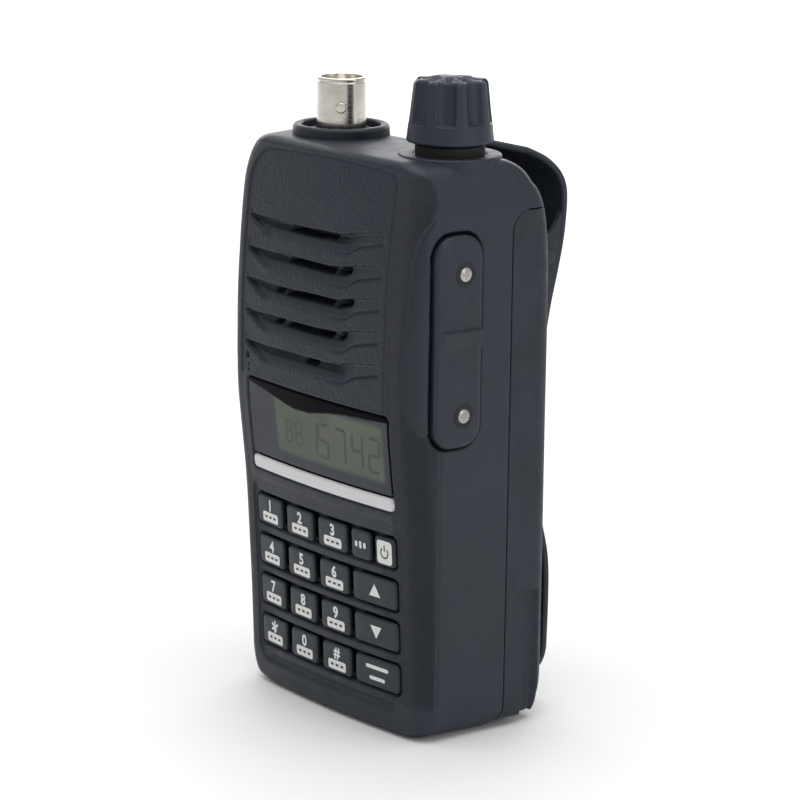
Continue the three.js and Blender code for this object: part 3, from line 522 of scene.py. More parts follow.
def grid_normals(points):
    across = np.gradient(points, axis=1)
    upward = np.gradient(points, axis=0)
    normal = np.cross(upward, across)
    return normal / np.maximum(np.linalg.norm(normal, axis=-1, keepdims=True), 1e-9)


def seam_line(z):
    """Depth of the seam at each height: it curves back at its top and forward at its bottom."""
    y = np.full_like(z, SEAM_Y)
    climb = np.clip(z - (PACK_TOP - SEAM_RADIUS), 0, SEAM_RADIUS)
    y += SEAM_RADIUS - np.sqrt(SEAM_RADIUS**2 - climb**2)
    return np.where(z < 3, np.interp(z, [0, 0.5, 1.8, 3], [5.2, 5.4, 8.1, SEAM_Y]), y)


def seam_share(z, shift):
    front = front_surface(half_width(z, 0.7), z) + edge_inset(z)
    back = along(BACK_PROFILE, z)
    return np.clip((seam_line(z) + shift - front) / (back - front), 0.05, 0.86)


def along_x(x, stations):
    """Straight lines through [x, value] stations."""
    places, values = zip(*stations)
    return np.interp(x, places, values)


def louvre_lip(x):
    """Upper edge of a louvre, above its level."""
    return along_x(x, [(-23.6, -0.2), (-19, -0.3), (5, 0.1), (8, 0.3), (12, 1.2), (19.4, 2.2)])


def louvre_foot(x):
    """Lower edge of a louvre, above its level."""
    return along_x(x, [(-23.6, -0.2), (-22.2, -1.3), (-16.8, -3.5), (8.6, -3.45), (9.8, -3.2), (12.3, -1.7),
                       (18.9, -0.2)])


def louvre_relief(x, z):
    """Depth of the louvre channels, and how much of a point is painted dark as shade in the slot openings."""
    depth = np.zeros_like(x)
    dark = np.zeros_like(x)
    reach = smoothstep(x, -23.6, -23.0) * smoothstep(-x, -19.5, -19.15)
    slots = [[(-9.9, 4.7)], [(-9.8, 4.9), (6.3, 9.9)], [(-13.8, -11.4), (-9.7, 5), (6.6, 11)],
             [(-13.8, -11.4), (-9.3, 5.2), (7, 9.2)], [(-3.5, 0.5)]]
    for i in range(LOUVRE_COUNT):
        top = LOUVRE_TOP - i * LOUVRE_PITCH + louvre_lip(x)
        foot = LOUVRE_TOP - i * LOUVRE_PITCH + louvre_foot(x)
        inside = smoothstep(top - z, -0.12, 0.18) * smoothstep(z - foot, -0.1, 0.22) * reach
        fall = np.clip((top - z) / np.maximum(top - foot, 0.2), 0, 1)
        deepest = along_x(x, [(-23.6, 0.7), (-21.5, 1.6), (-16, 2.1), (7, 2.1), (10, 1.5), (13, 0.9),
                              (16, 0.7), (19.4, 0.6)])
        keep = along_x(x, [(-23.6, 0.85), (-20, 0.7), (-14, 0.14), (6, 0.14), (10, 0.3), (14, 0.75)])
        shape = keep + (1 - keep) * (1 - fall) ** 1.3
        step = 0.3 * smoothstep(fall, 0.42, 0.5) * smoothstep(deepest, 1.4, 1.9)
        depth = np.maximum(depth, inside * np.maximum(deepest * shape - step, 0.16))
        crease = np.exp(-(((z - foot - 0.15) / 0.24) ** 2)) * smoothstep(x, 4, 9) * reach
        depth = depth + 0.42 * crease
        for x0, x1 in slots[i]:
            hole = smoothstep(x, x0 - 0.12, x0 + 0.12) * smoothstep(-x, -x1 - 0.12, -x1 + 0.12)
            hole *= smoothstep(top - z, 0.1, 0.3) * smoothstep(z - top, -1.35, -1.15)
            depth = np.maximum(depth, hole * 4)
            # Painted shade: the slot floor is marked to be coloured near black.
            dark = np.maximum(dark, hole)
    return depth, dark


KEY_BOXES = {name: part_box(name) for name in NODES if name.startswith("key_")}


def key_rectangle(name):
    low, high = KEY_BOXES[name]
    return low.x / MM, high.x / MM, low.z / MM, high.z / MM


def key_rows():
    """The trench of each row of keys: x0, x1, z0, z1."""
    rows = {}
    for name in KEY_BOXES:
        box = key_rectangle(name)
        rows.setdefault(round(box[2]), []).append(box)
    return [(min(b[0] for b in row), max(b[1] for b in row), row[0][2], row[0][3]) for row in rows.values()]


KEY_ROWS = key_rows()
COVER_BOX = [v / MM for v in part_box("jack_cover")]
PTT_BOX = [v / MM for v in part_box("ptt_button")]
WINDOW_BOX = [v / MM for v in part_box("display_window")]
TRIM_BOX = [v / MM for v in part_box("trim_bar")]


def panel_distance(x, z):
    return rounded_box_distance(x, z + 0.002 * (x - 2) ** 2, *PANEL, np.where(x < 0, *PANEL_RADII))


def front_relief(x, z):
    """Inward relief of the front face, in millimetres, with its masks."""
    relief, dark = louvre_relief(x, z)
    panel = panel_distance(x, z)
    inside_panel = (panel < 0) & (z > 64)
    above_window = smoothstep(z, 63.2, 64.5)
    relief = relief + above_window * (0.3 * np.exp(-((panel / 0.2) ** 2)) + 0.12 * smoothstep(-panel, 0, 0.3))
    # Pocket of the display and trim bar.
    pocket = rounded_box_distance(x, z, -22.6, 22.6, TRIM_BOX[0].z - 0.2, WINDOW_BOX[1].z + 0.2, 1.4)
    relief = np.maximum(relief, 1.2 * smoothstep(-pocket, -0.12, 0.12))
    # Keypad: a shallow recess, and a well round each key.
    recess = rounded_box_distance(x, z, -23.6, 23.2, 4.6, 42.8, 3.6)
    relief = np.maximum(relief, 0.3 * smoothstep(-recess, -0.3, 0.3))
    groove = np.exp(-(((z - 5.5) / 0.7) ** 2)) * smoothstep(21.5 - np.abs(x), 0, 2.5)
    relief = relief + 0.55 * groove
    for x0, x1, z0, z1 in KEY_ROWS:
        trench = rounded_box_distance(x, z, x0 - 0.45, x1 + 0.4, z0 - 0.42, z1 + 0.42, 1.3)
        relief = np.maximum(relief, 1.7 * smoothstep(-trench, -0.2, 0.2))
        # Painted shade: the floor of each trench is marked to be coloured near black.
        dark = np.maximum(dark, 0.8 * smoothstep(-trench, 0.1, 0.4))
    # Microphone hole and the two small marks under it; the deep hole is marked for painted shade.
    for hole_x, hole_z, radius, deep in FRONT_HOLES:
        hole = smoothstep(radius - np.hypot(x - hole_x, z - hole_z), -0.12, 0.12)
        relief = np.maximum(relief, deep * hole)
        dark = np.maximum(dark, hole * (deep > 1))
    # Small raised pips at the left end of each louvre.
    for i in range(LOUVRE_COUNT):
        pip = smoothstep(0.5 - np.hypot(x + 23.3, z - (LOUVRE_TOP - i * LOUVRE_PITCH + 0.35)), 0, 0.4)
        relief = relief - 0.25 * pip
    leather = inside_panel * (1 - smoothstep(relief, 0.3, 0.7))
    return relief, leather, dark


def mesh_boundary(z):
    """Distance round from the front at which the cross mesh ends on the side."""
    upper = np.interp(z, [59.9, 61.3, 62.9, 67.7, 80, 93.5, 97.6, 99.3, 100.6, 103, 106, 108, 109.5, 110.3],
                      [32.2, 29.6, 27.7, 26.7, 26.9, 27.3, 28.2, 29.1, 30.3, 31.8, 32.2, 31.7, 30, 28])
    straight = HALF_WIDTH - FRONT_CORNER + FRONT_CORNER * math.pi / 2
    front = front_surface(HALF_WIDTH, z) + FRONT_CORNER
    lower = straight + (-7.4 - front)
    mixing = smoothstep(z, 57.6, 60.4)
    return lower * (1 - mixing) + upper * mixing


def side_relief(w, points, z):
    """Relief of the corners and sides: raised mesh with its groove, and the pockets of cover and button,
    whose gaps are marked for painted shade.
    """
    boundary = mesh_boundary(z)
    slope = np.gradient(boundary, z, axis=0) if z.ndim == 1 else np.gradient(boundary[:, 0], z[:, 0])[:, None]
    distance = (np.abs(w) - boundary) / np.sqrt(1 + np.clip(slope, -3, 3) ** 2)
    low = smoothstep(z, 5.5, 8)
    ends = low * smoothstep(-z, -109.4, -108.6)
    raised = smoothstep(-distance, -0.05, 0.5) * ends
    groove = np.exp(-(((distance - 0.35) / 0.32) ** 2)) * ends
    relief = -0.22 * raised + 0.3 * groove
    mesh = smoothstep(-distance, 0.25, 0.5) * ends
    y = points[..., 1]
    right = points[..., 0] > 26
    low_corner, high_corner = COVER_BOX
    cover = rounded_box_distance(y, z, low_corner.y - 0.45, high_corner.y + 0.4,
                                 low_corner.z - 0.4, high_corner.z + 0.5, 4.6)
    gap = smoothstep(-cover, -0.2, 0.25) * right
    low_corner, high_corner = PTT_BOX
    button = rounded_box_distance(y, z, low_corner.y - 0.4, high_corner.y + 0.4,
                                  low_corner.z - 0.4, high_corner.z + 0.4, 4.4)
    gap = np.maximum(gap, smoothstep(-button, -0.2, 0.25) * (points[..., 0] < -26))
    # The third value is painted shade in the gaps round cover and button.
    return np.maximum(relief, 1.6 * gap), mesh * (1 - gap), gap * 0.8


def spaced(start, stop, step):
    return np.linspace(start, stop, max(2, int(round((stop - start) / step)) + 1))


def heights(start, stop, fine=0.32):
    """Rows of the skin: close together on the rounded edges and over the relief."""
    bottom = BOTTOM_EDGE * (1 - np.cos(np.linspace(0, math.pi / 2, 10)))
    top = CASE_TOP - TOP_EDGE + TOP_EDGE * np.sin(np.linspace(0, math.pi / 2, 14))
    rows = np.concatenate([bottom, spaced(BOTTOM_EDGE, CASE_TOP - TOP_EDGE, fine)[1:-1], top])
    rows = rows[(rows > start + 0.05) & (rows < stop - 0.05)]
    return np.concatenate([[start], rows, [stop]])


def closing_rows(row, centre, shares):
    """Rows that carry an edge in towards a centre at the same height."""
    return [row + (centre - row) * share for share in shares]


def with_seam_lips(points, near, far):
    """The grid with two more columns at each end, which turn in at the seam."""
    lips = [(0, -1, far), (0, -1, near), (-1, 1, near), (-1, 1, far)]
    added = [(points[:, column] + sign * np.array([reach, 0, 0]))[:, None] for column, sign, reach in lips]
    return np.concatenate([*added[:2], points, *added[2:]], axis=1)


def build_case_skin():
    z = heights(0, CASE_TOP)
    x_base, y_base, w = base_outline("front", seam_share(z, -SEAM_GAP), (64, 20, 192))
    points = shaped(x_base, y_base, z)
    normal = grid_normals(points)
    levels = np.repeat(z[:, None], points.shape[1], axis=1)
    relief, leather, dark = front_relief(points[..., 0], levels)
    side, mesh, side_dark = side_relief(w, points, levels)
    on_side = smoothstep(panel_distance(points[..., 0], levels), 0.1, 0.5) * (np.abs(w) > 18)
    in_front = np.abs(w) < HALF_WIDTH - FRONT_CORNER + 0.2
    total = np.where(in_front, relief, 0) + side * np.where(in_front, on_side, 1)
    mesh = np.where(in_front, mesh * on_side * (levels > 5), mesh)
    points = points - normal * total[..., None]
    attributes = {
        "leather": np.where(in_front, leather, 0),
        "mesh": mesh * (1 - np.where(in_front, smoothstep(relief, 0.2, 0.4), 0)),
        # Mask of painted shade for slots, holes, key trenches and side gaps.
        "painted_shade": np.maximum(np.where(in_front, dark, 0), side_dark),
        "unrolled": w,
    }
    # Lips that turn in at the seam, and the closed top and bottom.
    full = with_seam_lips(points, 0.4, 1.6)
    wide = {k: np.hstack([v[:, :1], v[:, :1], v, v[:, -1:], v[:, -1:]]) for k, v in attributes.items()}
    shares = [0.06, 0.2, 0.45, 0.75, 1.0]
    top = closing_rows(full[-1], np.array([0.0, 2.2, CASE_TOP]), shares)
    bottom = closing_rows(full[0], np.array([0.0, 2.0, 0.0]), shares)[::-1]
    full = np.concatenate([np.array(bottom), full, np.array(top)])
    repeat = len(shares)
    for key, value in wide.items():
        wide[key] = np.concatenate([np.repeat(value[:1], repeat, 0), value, np.repeat(value[-1:], repeat, 0)])
        if key != "unrolled":
            wide[key][:repeat] = 0
            wide[key][-repeat:] = 0
    flat_attributes = {k: v.reshape(-1) for k, v in wide.items()}
    faces = [face[::-1] for face in grid_faces(full.shape[0], full.shape[1])]
    make_object("case_skin", full.reshape(-1, 3), faces, MATERIALS["case"], "radio",
                ["front_case"], attributes=flat_attributes)


def build_shoulder_skin():
    """The case behind the seam, above the pack."""
    z = heights(PACK_TOP + SEAM_GAP, CASE_TOP, 0.5)
    x_base, y_base, _ = base_outline("back", seam_share(z, -SEAM_GAP), (16, 16, 70))
    points = shaped(x_base, y_base, z)
    shares = [0.06, 0.2, 0.45, 0.75, 1.0]
    top = closing_rows(points[-1], np.array([0.0, 2.2, CASE_TOP]), shares)
    lip = closing_rows(points[0], np.array([0.0, 9.0, z[0]]), [0.015, 0.12])[::-1]
    full = np.concatenate([np.array(lip), points, np.array(top)])
    faces = grid_faces(full.shape[0], full.shape[1])
    zero = np.zeros(full.shape[0] * full.shape[1])
    make_object("shoulder_skin", full.reshape(-1, 3), faces, MATERIALS["case"], "radio",
                attributes={"leather": zero, "mesh": zero, "painted_shade": zero})


def build_pack_skin():
    """Battery pack: the back of the radio below the shoulder, with a charging notch at each side."""
    z = heights(PACK_BOTTOM, PACK_TOP - SEAM_GAP, 0.45)
    x_base, y_base, _ = base_outline("back", seam_share(z, SEAM_GAP), (40, 18, 90))
    points = shaped(x_base, y_base, z)
    levels = np.repeat(z[:, None], points.shape[1], axis=1)
    notch = rounded_box_distance(points[..., 1], levels, 13.4, 16.8, -8, 26.5, 0.8)
    side = np.abs(points[..., 0]) > half_width(levels, 0.85) - 1.4
    relief = 0.85 * smoothstep(-notch, -0.2, 0.25) * side
    # Recessed blank label area on the back, mostly behind the clip.
    label = rounded_box_distance(points[..., 0], levels, -21, 21, 14, 70, 2)
    back = points[..., 1] > 19
    relief = np.maximum(relief, 0.25 * smoothstep(-label, -0.2, 0.3) * back)
    points = points + grid_normals(points) * relief[..., None]  # grid normals point inwards at the back
    full = with_seam_lips(points, 0.4, 1.8)
    shares = [0.012, 0.1, 0.4, 0.9]
    top = closing_rows(full[-1], np.array([0.0, 12.0, z[-1]]), shares)
    bottom = closing_rows(full[0], np.array([0.0, 12.0, z[0]]), shares)[::-1]
    full = np.concatenate([np.array(bottom), full, np.array(top)])
    faces = grid_faces(full.shape[0], full.shape[1])
    make_object("pack_skin", full.reshape(-1, 3), faces, MATERIALS["coarse"], "battery",
                ["battery_shell"])


build_case_skin()
build_shoulder_skin()
build_pack_skin()


# ---- Keys ----


def front_patch(name, x0, x1, z0, z1, radius, rings, material, body, replaces=(), corner=6, edge=8):
    """A rounded rectangle laid on the front: rings of (inset, depth) from the outside in, then a middle."""
    outline = []
    corners = [(x1, z0, -90), (x1, z1, 0), (x0, z1, 90), (x0, z0, 180)]
    for inset, depth in rings:
        ring = []
        reach = max(radius - inset, 0.05)
        for corner_x, corner_z, start in corners:
            centre_x = corner_x - math.copysign(radius if inset < radius else inset, corner_x - (x0 + x1) / 2)
            centre_z = corner_z - math.copysign(radius if inset < radius else inset, corner_z - (z0 + z1) / 2)
            for i in range(corner + 1):
                angle = math.radians(start + 90 * i / corner)
                ring.append((centre_x + reach * math.cos(angle), centre_z + reach * math.sin(angle)))
        ring = np.array(ring)
        dense = []
        for i, point in enumerate(ring):
            following = ring[(i + 1) % len(ring)]
            steps = edge if (i + 1) % (corner + 1) == 0 else 1
            dense += [point + (following - point) * s / steps for s in range(steps)]
        dense = np.array(dense)
        outline.append((dense, depth))
    count = len(outline[0][0])
    middle = np.array([(x0 + x1) / 2, (z0 + z1) / 2])
    last, depth = outline[-1]
    for share in (0.25, 0.5, 0.75, 1.0):
        outline.append((last + (middle - last) * share, depth))
    points = []
    for ring, depth in outline:
        for x, z in ring:
            points.append((x, float(front_surface(x, z)) + depth, z))
    faces = [face[::-1] for face in grid_faces(len(outline), count, wrap=True)]
    tidy_mesh(make_object(name, points, faces, material, body, replaces))


def soften(depth_back, depth_front, rounding, steps=5):
    """Rings for a raised plate with a rounded front edge."""
    rings = [(0, depth_back), (0, depth_front + rounding)]
    for i in range(1, steps + 1):
        angle = math.pi / 2 * i / steps
        rings.append((rounding * (1 - math.cos(angle)), depth_front + rounding * (1 - math.sin(angle))))
    return rings


def text_outline(body_text, size, weight):
    """Mesh of a numeral or sign in the built-in font, centred on the origin."""
    curve = bpy.data.curves.new("sign", "FONT")
    curve.body = body_text
    curve.size = size
    curve.offset = weight
    curve.resolution_u = 3
    curve.fill_mode = "FRONT"
    carrier = bpy.data.objects.new("sign", curve)
    bpy.context.scene.collection.objects.link(carrier)
    bpy.context.view_layer.update()
    evaluated = carrier.evaluated_get(bpy.context.evaluated_depsgraph_get())
    mesh = bpy.data.meshes.new_from_object(evaluated)
    points = np.array([v.co[:2] for v in mesh.vertices])
    faces = [list(p.vertices) for p in mesh.polygons]
    bpy.data.objects.remove(carrier)
    bpy.data.curves.remove(curve)
    bpy.data.meshes.remove(mesh)
    points -= (points.min(0) + points.max(0)) / 2
    return points, faces


def lay_on_front(name, points, faces, centre, depth, material, body):
    """Flat artwork laid on the front at a depth below the surface."""
    points = np.asarray(points, float) + np.array(centre)
    laid = [(x, float(front_surface(x, z)) + depth, z) for x, z in points]
    piece = make_object(name, laid, faces, material, body, smooth=False)
    for polygon in piece.data.polygons:
        if polygon.normal.y > 0:
            polygon.flip()


def plate_shape(width, height, radius=0.5, steps=5):
    outline = []
    for sx, sz, start in ((1, -1, -90), (1, 1, 0), (-1, 1, 90), (-1, -1, 180)):
        for i in range(steps + 1):
            angle = math.radians(start + 90 * i / steps)
            outline.append((sx * (width / 2 - radius) + radius * math.cos(angle),
                            sz * (height / 2 - radius) + radius * math.sin(angle)))
    return np.array(outline), [list(range(len(outline)))]


KEY_FRONT = 0.05  # below the surface of the panel
KEY_SKIRT = 0.85  # stays clear of the trench floor when the key is pressed
INK = KEY_FRONT - 0.06
KEY_SIGNS = {f"key_{i}": str(i) for i in range(10)}
KEY_SIGNS.update({"key_star": "*", "key_hash": "#"})


def ink(name, shape, centre, key, material="ink", lift=0.0):
    points, faces = shape
    lay_on_front(name, points, faces, centre, INK - lift, MATERIALS[material], key + "_body")


def build_key(name):
    x0, x1, z0, z1 = key_rectangle(name)
    front_patch(name + "_cap", x0, x1, z0, z1, 0.95, soften(KEY_SKIRT, KEY_FRONT, 0.45), MATERIALS["key"],
                name + "_body", [name])
    x, z = (x0 + x1) / 2, (z0 + z1) / 2
    if name in KEY_SIGNS:
        size = 5.4 if name == "key_star" else 3.1
        ink(name + "_sign", text_outline(KEY_SIGNS[name], size, 0.11), (x + 0.25, z + 1.1), name)
        ink(name + "_badge", plate_shape(5.5, 1.95), (x + 0.25, z - 1.3), name)
        for i, shift in enumerate((-1.5, 0, 1.5)):
            place = (x + 0.25 + shift, z - 1.3)
            ink(f"{name}_bar_{i}", plate_shape(0.9, 0.45, 0.2), place, name, "dark_ink", 0.02)
    elif name == "key_power":
        ink(name + "_badge", plate_shape(4.1, 4.6, 0.7), (x, z - 0.1), name)
        arc = [math.radians(a) for a in range(125, 416, 15)]
        inner, outer = 0.85, 1.15
        ring = [(outer * math.cos(a), outer * math.sin(a)) for a in arc]
        ring += [(inner * math.cos(a), inner * math.sin(a)) for a in reversed(arc)]
        count = len(arc)
        faces = [[i, i + 1, 2 * count - 2 - i, 2 * count - 1 - i] for i in range(count - 1)]
        ink(name + "_ring", (np.array(ring), faces), (x, z - 0.2), name, "dark_ink", 0.02)
        ink(name + "_stroke", plate_shape(0.3, 1.3, 0.1), (x, z + 0.7), name, "dark_ink", 0.022)
    elif name == "key_monitor":
        for i, shift in enumerate((-1.2, 0, 1.2)):
            ink(f"{name}_bar_{i}", plate_shape(0.7, 1.1 + 0.3 * (i % 2), 0.15), (x + shift, z), name)
    elif name in ("key_up", "key_down"):
        side = 1 if name == "key_up" else -1
        triangle = np.array([(-1.6, -1.15 * side), (1.6, -1.15 * side), (0, 1.35 * side)])
        ink(name + "_arrow", (triangle, [[0, 1, 2]]), (x + 0.2, z), name)
    else:
        for i, (width, height) in enumerate(((6.4, 0.75), (4.4, 0.75))):
            ink(f"{name}_bar_{i}", plate_shape(width, height, 0.3), (x + 0.2, z + 1.1 - 2.2 * i), name)


for key_name in KEY_BOXES:
    build_key(key_name)


# ---- Display and trim bar ----


def front_grid(name, x0, x1, z0, z1, depth, rounding, material, replaces, attributes, shape):
    """A fine curved plate with rounded edges, laid in the front."""
    x, z = np.meshgrid(np.linspace(x0, x1, shape[0]), np.linspace(z0, z1, shape[1]))
    distance = rounded_box_distance(x, z, x0, x1, z0, z1, 1.1)
    fall = rounding * (1 - np.sqrt(np.clip(1 - np.clip((distance + rounding) / rounding, 0, 1) ** 2, 0, 1)))
    y = front_surface(x, z) + depth + fall + 1.2 * (distance > 0.01)
    points = np.stack([x, y, z], axis=-1)
    masks = {key: rule(x, z).reshape(-1) for key, rule in attributes.items()}
    faces = np.roll(grid_faces(shape[1], shape[0]), 1, axis=1)
    make_object(name, points.reshape(-1, 3), faces, material, "radio", replaces, attributes=masks)


def band_mask(x, z):
    """Black printed band along the top of the lens: deepest left of the middle, thin at both ends."""
    top = WINDOW_BOX[1].z
    lower = along_x(x, [(-22.4, 0.8), (-15, 1.9), (-8.6, 3.2), (-5.7, 3.6), (-1.3, 3.5), (5.3, 2.3),
                        (10.4, 1.7), (22.4, 1.1)])
    rim = np.maximum(smoothstep(-x, 21.9, 22.1), smoothstep(x, 21.9, 22.1))
    return np.maximum(smoothstep(z - (top - lower), -0.1, 0.1), rim)


def lcd_mask(x, z):
    distance = rounded_box_distance(x, z, -12.4, 20.3, 50.6, 61.0, 0.6)
    return smoothstep(-distance, -0.9, 0.5)


low_window, high_window = WINDOW_BOX
front_grid("lens_skin", low_window.x, high_window.x, low_window.z, high_window.z, 0.12, 0.35,
           MATERIALS["lens"], ["display_window"], {"band": band_mask, "lcd": lcd_mask}, (180, 70))
low_trim, high_trim = TRIM_BOX
front_grid("trim_skin", low_trim.x, high_trim.x, low_trim.z, high_trim.z, -0.12, 0.4, MATERIALS["trim"],
           ["trim_bar"], {}, (120, 18))

# Seven-segment numerals, drawn from a list of which segments are on.
SEGMENTS = {"1": "bc", "2": "abged", "4": "fgbc", "5": "afgcd", "7": "abc", "8": "abcdefg"}


def numeral(character, x, z, width, height, stroke, index):
    half = height / 2
    bars = {
        "a": (0, half, width, stroke), "g": (0, 0, width, stroke), "d": (0, -half, width, stroke),
        "f": (-width / 2, half / 2, stroke, half), "b": (width / 2, half / 2, stroke, half),
        "e": (-width / 2, -half / 2, stroke, half), "c": (width / 2, -half / 2, stroke, half),
    }
    points, faces = [], []
    for segment in SEGMENTS[character]:
        cx, cz, sx, sz = bars[segment]
        outline, _ = plate_shape(max(sx - 0.25, stroke), max(sz - 0.25, stroke), stroke * 0.3, 2)
        lean = 0.06
        outline = outline + np.array([cx, cz])
        outline[:, 0] += outline[:, 1] * lean
        faces.append(list(range(len(points), len(points) + len(outline))))
        points += outline.tolist()
    lay_on_front(f"display_numeral_{index}", points, faces, (x, z), 0.1, MATERIALS["segment"], "radio")


for index, (character, x) in enumerate((("1", -0.6), ("5", 3.0), ("7", 8.2), ("4", 13.2), ("2", 18.0))):
    numeral(character, x, 55.2, 2.9, 6.6, 0.6, index)
for index, x in enumerate((-8.4, -5.0)):
    numeral("8", x, 55.0, 1.9, 4.4, 0.42, 10 + index)


# ---- Volume knob ----

KNOB_LOW, KNOB_HIGH = (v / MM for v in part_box("volume_knob"))
KNOB_X, KNOB_Y = (KNOB_LOW.x + KNOB_HIGH.x) / 2, (KNOB_LOW.y + KNOB_HIGH.y) / 2
KNOB_RADIUS = (KNOB_HIGH.x - KNOB_LOW.x) / 2
FLUTES = 8


def build_knob():
    """Tapered knob: flutes with a ledge above the skirt, and grooves that run on over the top."""
    bottom, top = KNOB_LOW.z, KNOB_HIGH.z
    ledge = bottom + 3.7
    crown_radius, crown_height = 7.1, 1.6
    flute_half_width, flute_depth = 1.85, 1.25
    groove_reach, groove_depth = 0.75, 0.75
    profile = [(5.9, bottom + 0.9), (5.9, bottom + 0.1), (6.2, bottom)]
    profile += [(KNOB_RADIUS - 0.5, bottom), (KNOB_RADIUS - 0.12, bottom + 0.12), (KNOB_RADIUS, bottom + 0.5)]
    for z in np.linspace(bottom + 0.9, top - crown_height, 60):
        share = (z - bottom) / (top - crown_height - bottom)
        profile.append((KNOB_RADIUS + (crown_radius - KNOB_RADIUS) * share, z))
    for t in np.linspace(0, 1, 26)[1:]:
        angle = t * math.pi / 2
        if t > 0.35:
            reach = crown_radius * (1 - t) ** 0.9
        else:
            reach = crown_radius - crown_height * (1 - math.cos(angle * 1.6))
        rise = crown_height * math.sin(min(angle * 1.25, math.pi / 2))
        profile.append((reach, top - crown_height + rise))
    profile = np.array(profile)
    order = np.arange(len(profile))
    outer = np.maximum.accumulate(profile[::-1, 0])[::-1]
    profile[order > 10, 0] = np.minimum(profile[order > 10, 0], outer[order > 10])
    sides = 288
    angle = np.linspace(0, 2 * math.pi, sides, endpoint=False)
    radius = np.repeat(profile[:, :1], sides, axis=1)
    z = np.repeat(profile[:, 1:], sides, axis=1)
    phase = (angle * FLUTES / (2 * math.pi) + 0.5) % 1 - 0.5
    offset = np.abs(phase) * 2 * math.pi / FLUTES * radius
    flute = np.sqrt(np.clip(1 - (offset / flute_half_width) ** 2, 0, 1))
    above = smoothstep(z, ledge - 0.12, ledge + 0.12) * smoothstep(radius, 1.9, 2.6)
    outside = smoothstep(radius, 5.2, 6.6)
    radius = radius - flute_depth * flute * above * outside
    groove = np.exp(-((offset / groove_reach) ** 2)) * (1 - outside) * smoothstep(profile[:, :1], 1.9, 2.8)
    z = z - groove_depth * groove * (z > top - 2)
    z = z - 0.18 * np.exp(-(((profile[:, :1] - 1.9) / 0.25) ** 2)) * (z > top - 2)
    points = np.stack([KNOB_X + radius * np.cos(angle), KNOB_Y + radius * np.sin(angle), z], axis=-1)
    faces = grid_faces(len(profile), sides, wrap=True)
    piece = make_object("knob_skin", points.reshape(-1, 3), faces, MATERIALS["knob"], "volume_knob",
                        ["volume_knob"])
    tidy_mesh(piece)


build_knob()


def lathe_piece(name, corners, x, y, material, body, replaces=(), radius=0.25, sides=96):
    """A turned piece whose profile has rounded corners."""
    profile = rounded_profile(corners, radius)
    points, faces = turned(profile, x, y, sides)
    tidy_mesh(make_object(name, points, faces, MATERIALS[material], body, replaces))


# Boss under the knob: it grows out of the shoulder of the case.
BOSS_RADIUS = 9.75
BOSS_TOP = 111.3
lathe_piece("knob_boss", [(0, BOSS_TOP - 0.5), (6.9, BOSS_TOP - 0.5), (7.1, BOSS_TOP),
                          (BOSS_RADIUS, BOSS_TOP), (BOSS_RADIUS + 0.1, BOSS_TOP - 9)],
            KNOB_X, KNOB_Y, "plastic", "radio", radius=0.5)
lathe_piece("knob_neck", [(2.3, 113.2), (6.3, 113.2), (6.6, 112.9), (6.6, BOSS_TOP - 0.6)],
            KNOB_X, KNOB_Y, "rubber", "radio", ["knob_seal"], radius=0.15)

# ---- Aerial socket ----

SOCKET_LOW, SOCKET_HIGH = (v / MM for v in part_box("bnc_insulator"))
SOCKET_X, SOCKET_Y = (SOCKET_LOW.x + SOCKET_HIGH.x) / 2, (SOCKET_LOW.y + SOCKET_HIGH.y) / 2
SHELL_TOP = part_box("bnc_shell")[1].z / MM
SHELL_RADIUS = 4.83
LUG_ANGLE = math.radians(-38)
LUG_HEIGHT = 116.6


def build_socket():
    """The BNC shell with its rim groove, its two lugs and the insulator."""
    lathe_piece(
        "bnc_shell_skin",
        [(SHELL_RADIUS, CASE_TOP - 0.5), (SHELL_RADIUS, SHELL_TOP - 0.9),
         (SHELL_RADIUS - 0.15, SHELL_TOP - 0.8), (SHELL_RADIUS - 0.15, SHELL_TOP - 0.55),
         (SHELL_RADIUS, SHELL_TOP - 0.45), (SHELL_RADIUS - 0.05, SHELL_TOP), (4.15, SHELL_TOP),
         (4.1, 113), (3.3, 113), (3.3, CASE_TOP)],
        SOCKET_X, SOCKET_Y, "nickel", "radio", ["bnc_shell"], radius=0.12, sides=128,
    )
    for index, turn in enumerate((0, math.pi)):
        profile = rounded_profile([(0, 0.95), (0.95, 0.95), (1.05, 0.7), (1.05, -0.5)], 0.15)
        points, faces = turned(profile, 0, 0, 40)
        out = Matrix.Rotation(LUG_ANGLE + turn, 4, "Z") @ Matrix.Translation((SHELL_RADIUS, 0, 0))
        out = Matrix.Translation((SOCKET_X, SOCKET_Y, LUG_HEIGHT)) @ out
        out = out @ Matrix.Rotation(math.pi / 2, 4, "Y")
        points = [tuple(out @ Vector(p)) for p in points]
        lug = make_object(f"bayonet_lug_{index}", points, faces, MATERIALS["nickel"], "radio")
        tidy_mesh(lug)
    lathe_piece("insulator_skin", [(1.2, 110), (1.2, 118.6), (3, 118.6), (3, 113.1), (4.1, 113.1)],
                SOCKET_X, SOCKET_Y, "insulator", "radio", ["bnc_insulator"], radius=0.3)


build_socket()
lathe_piece("collar_skin", [(7.65, CASE_TOP - 0.3), (7.7, 112.75), (8.1, 113), (9.0, 113), (9.4, 112.5),
                            (9.5, CASE_TOP - 0.4)],
            SOCKET_X, SOCKET_Y, "plastic", "radio", ["antenna_collar"], radius=0.45)
lathe_piece("socket_well", [(5.0, CASE_TOP + 0.5), (5.3, CASE_TOP + 0.9), (6.4, CASE_TOP + 0.9),
                            (7.0, CASE_TOP + 0.4), (7.75, CASE_TOP + 0.3)],
            SOCKET_X, SOCKET_Y, "rubber", "radio", ["antenna_gasket"], radius=0.3)

# ---- Jack cover ----


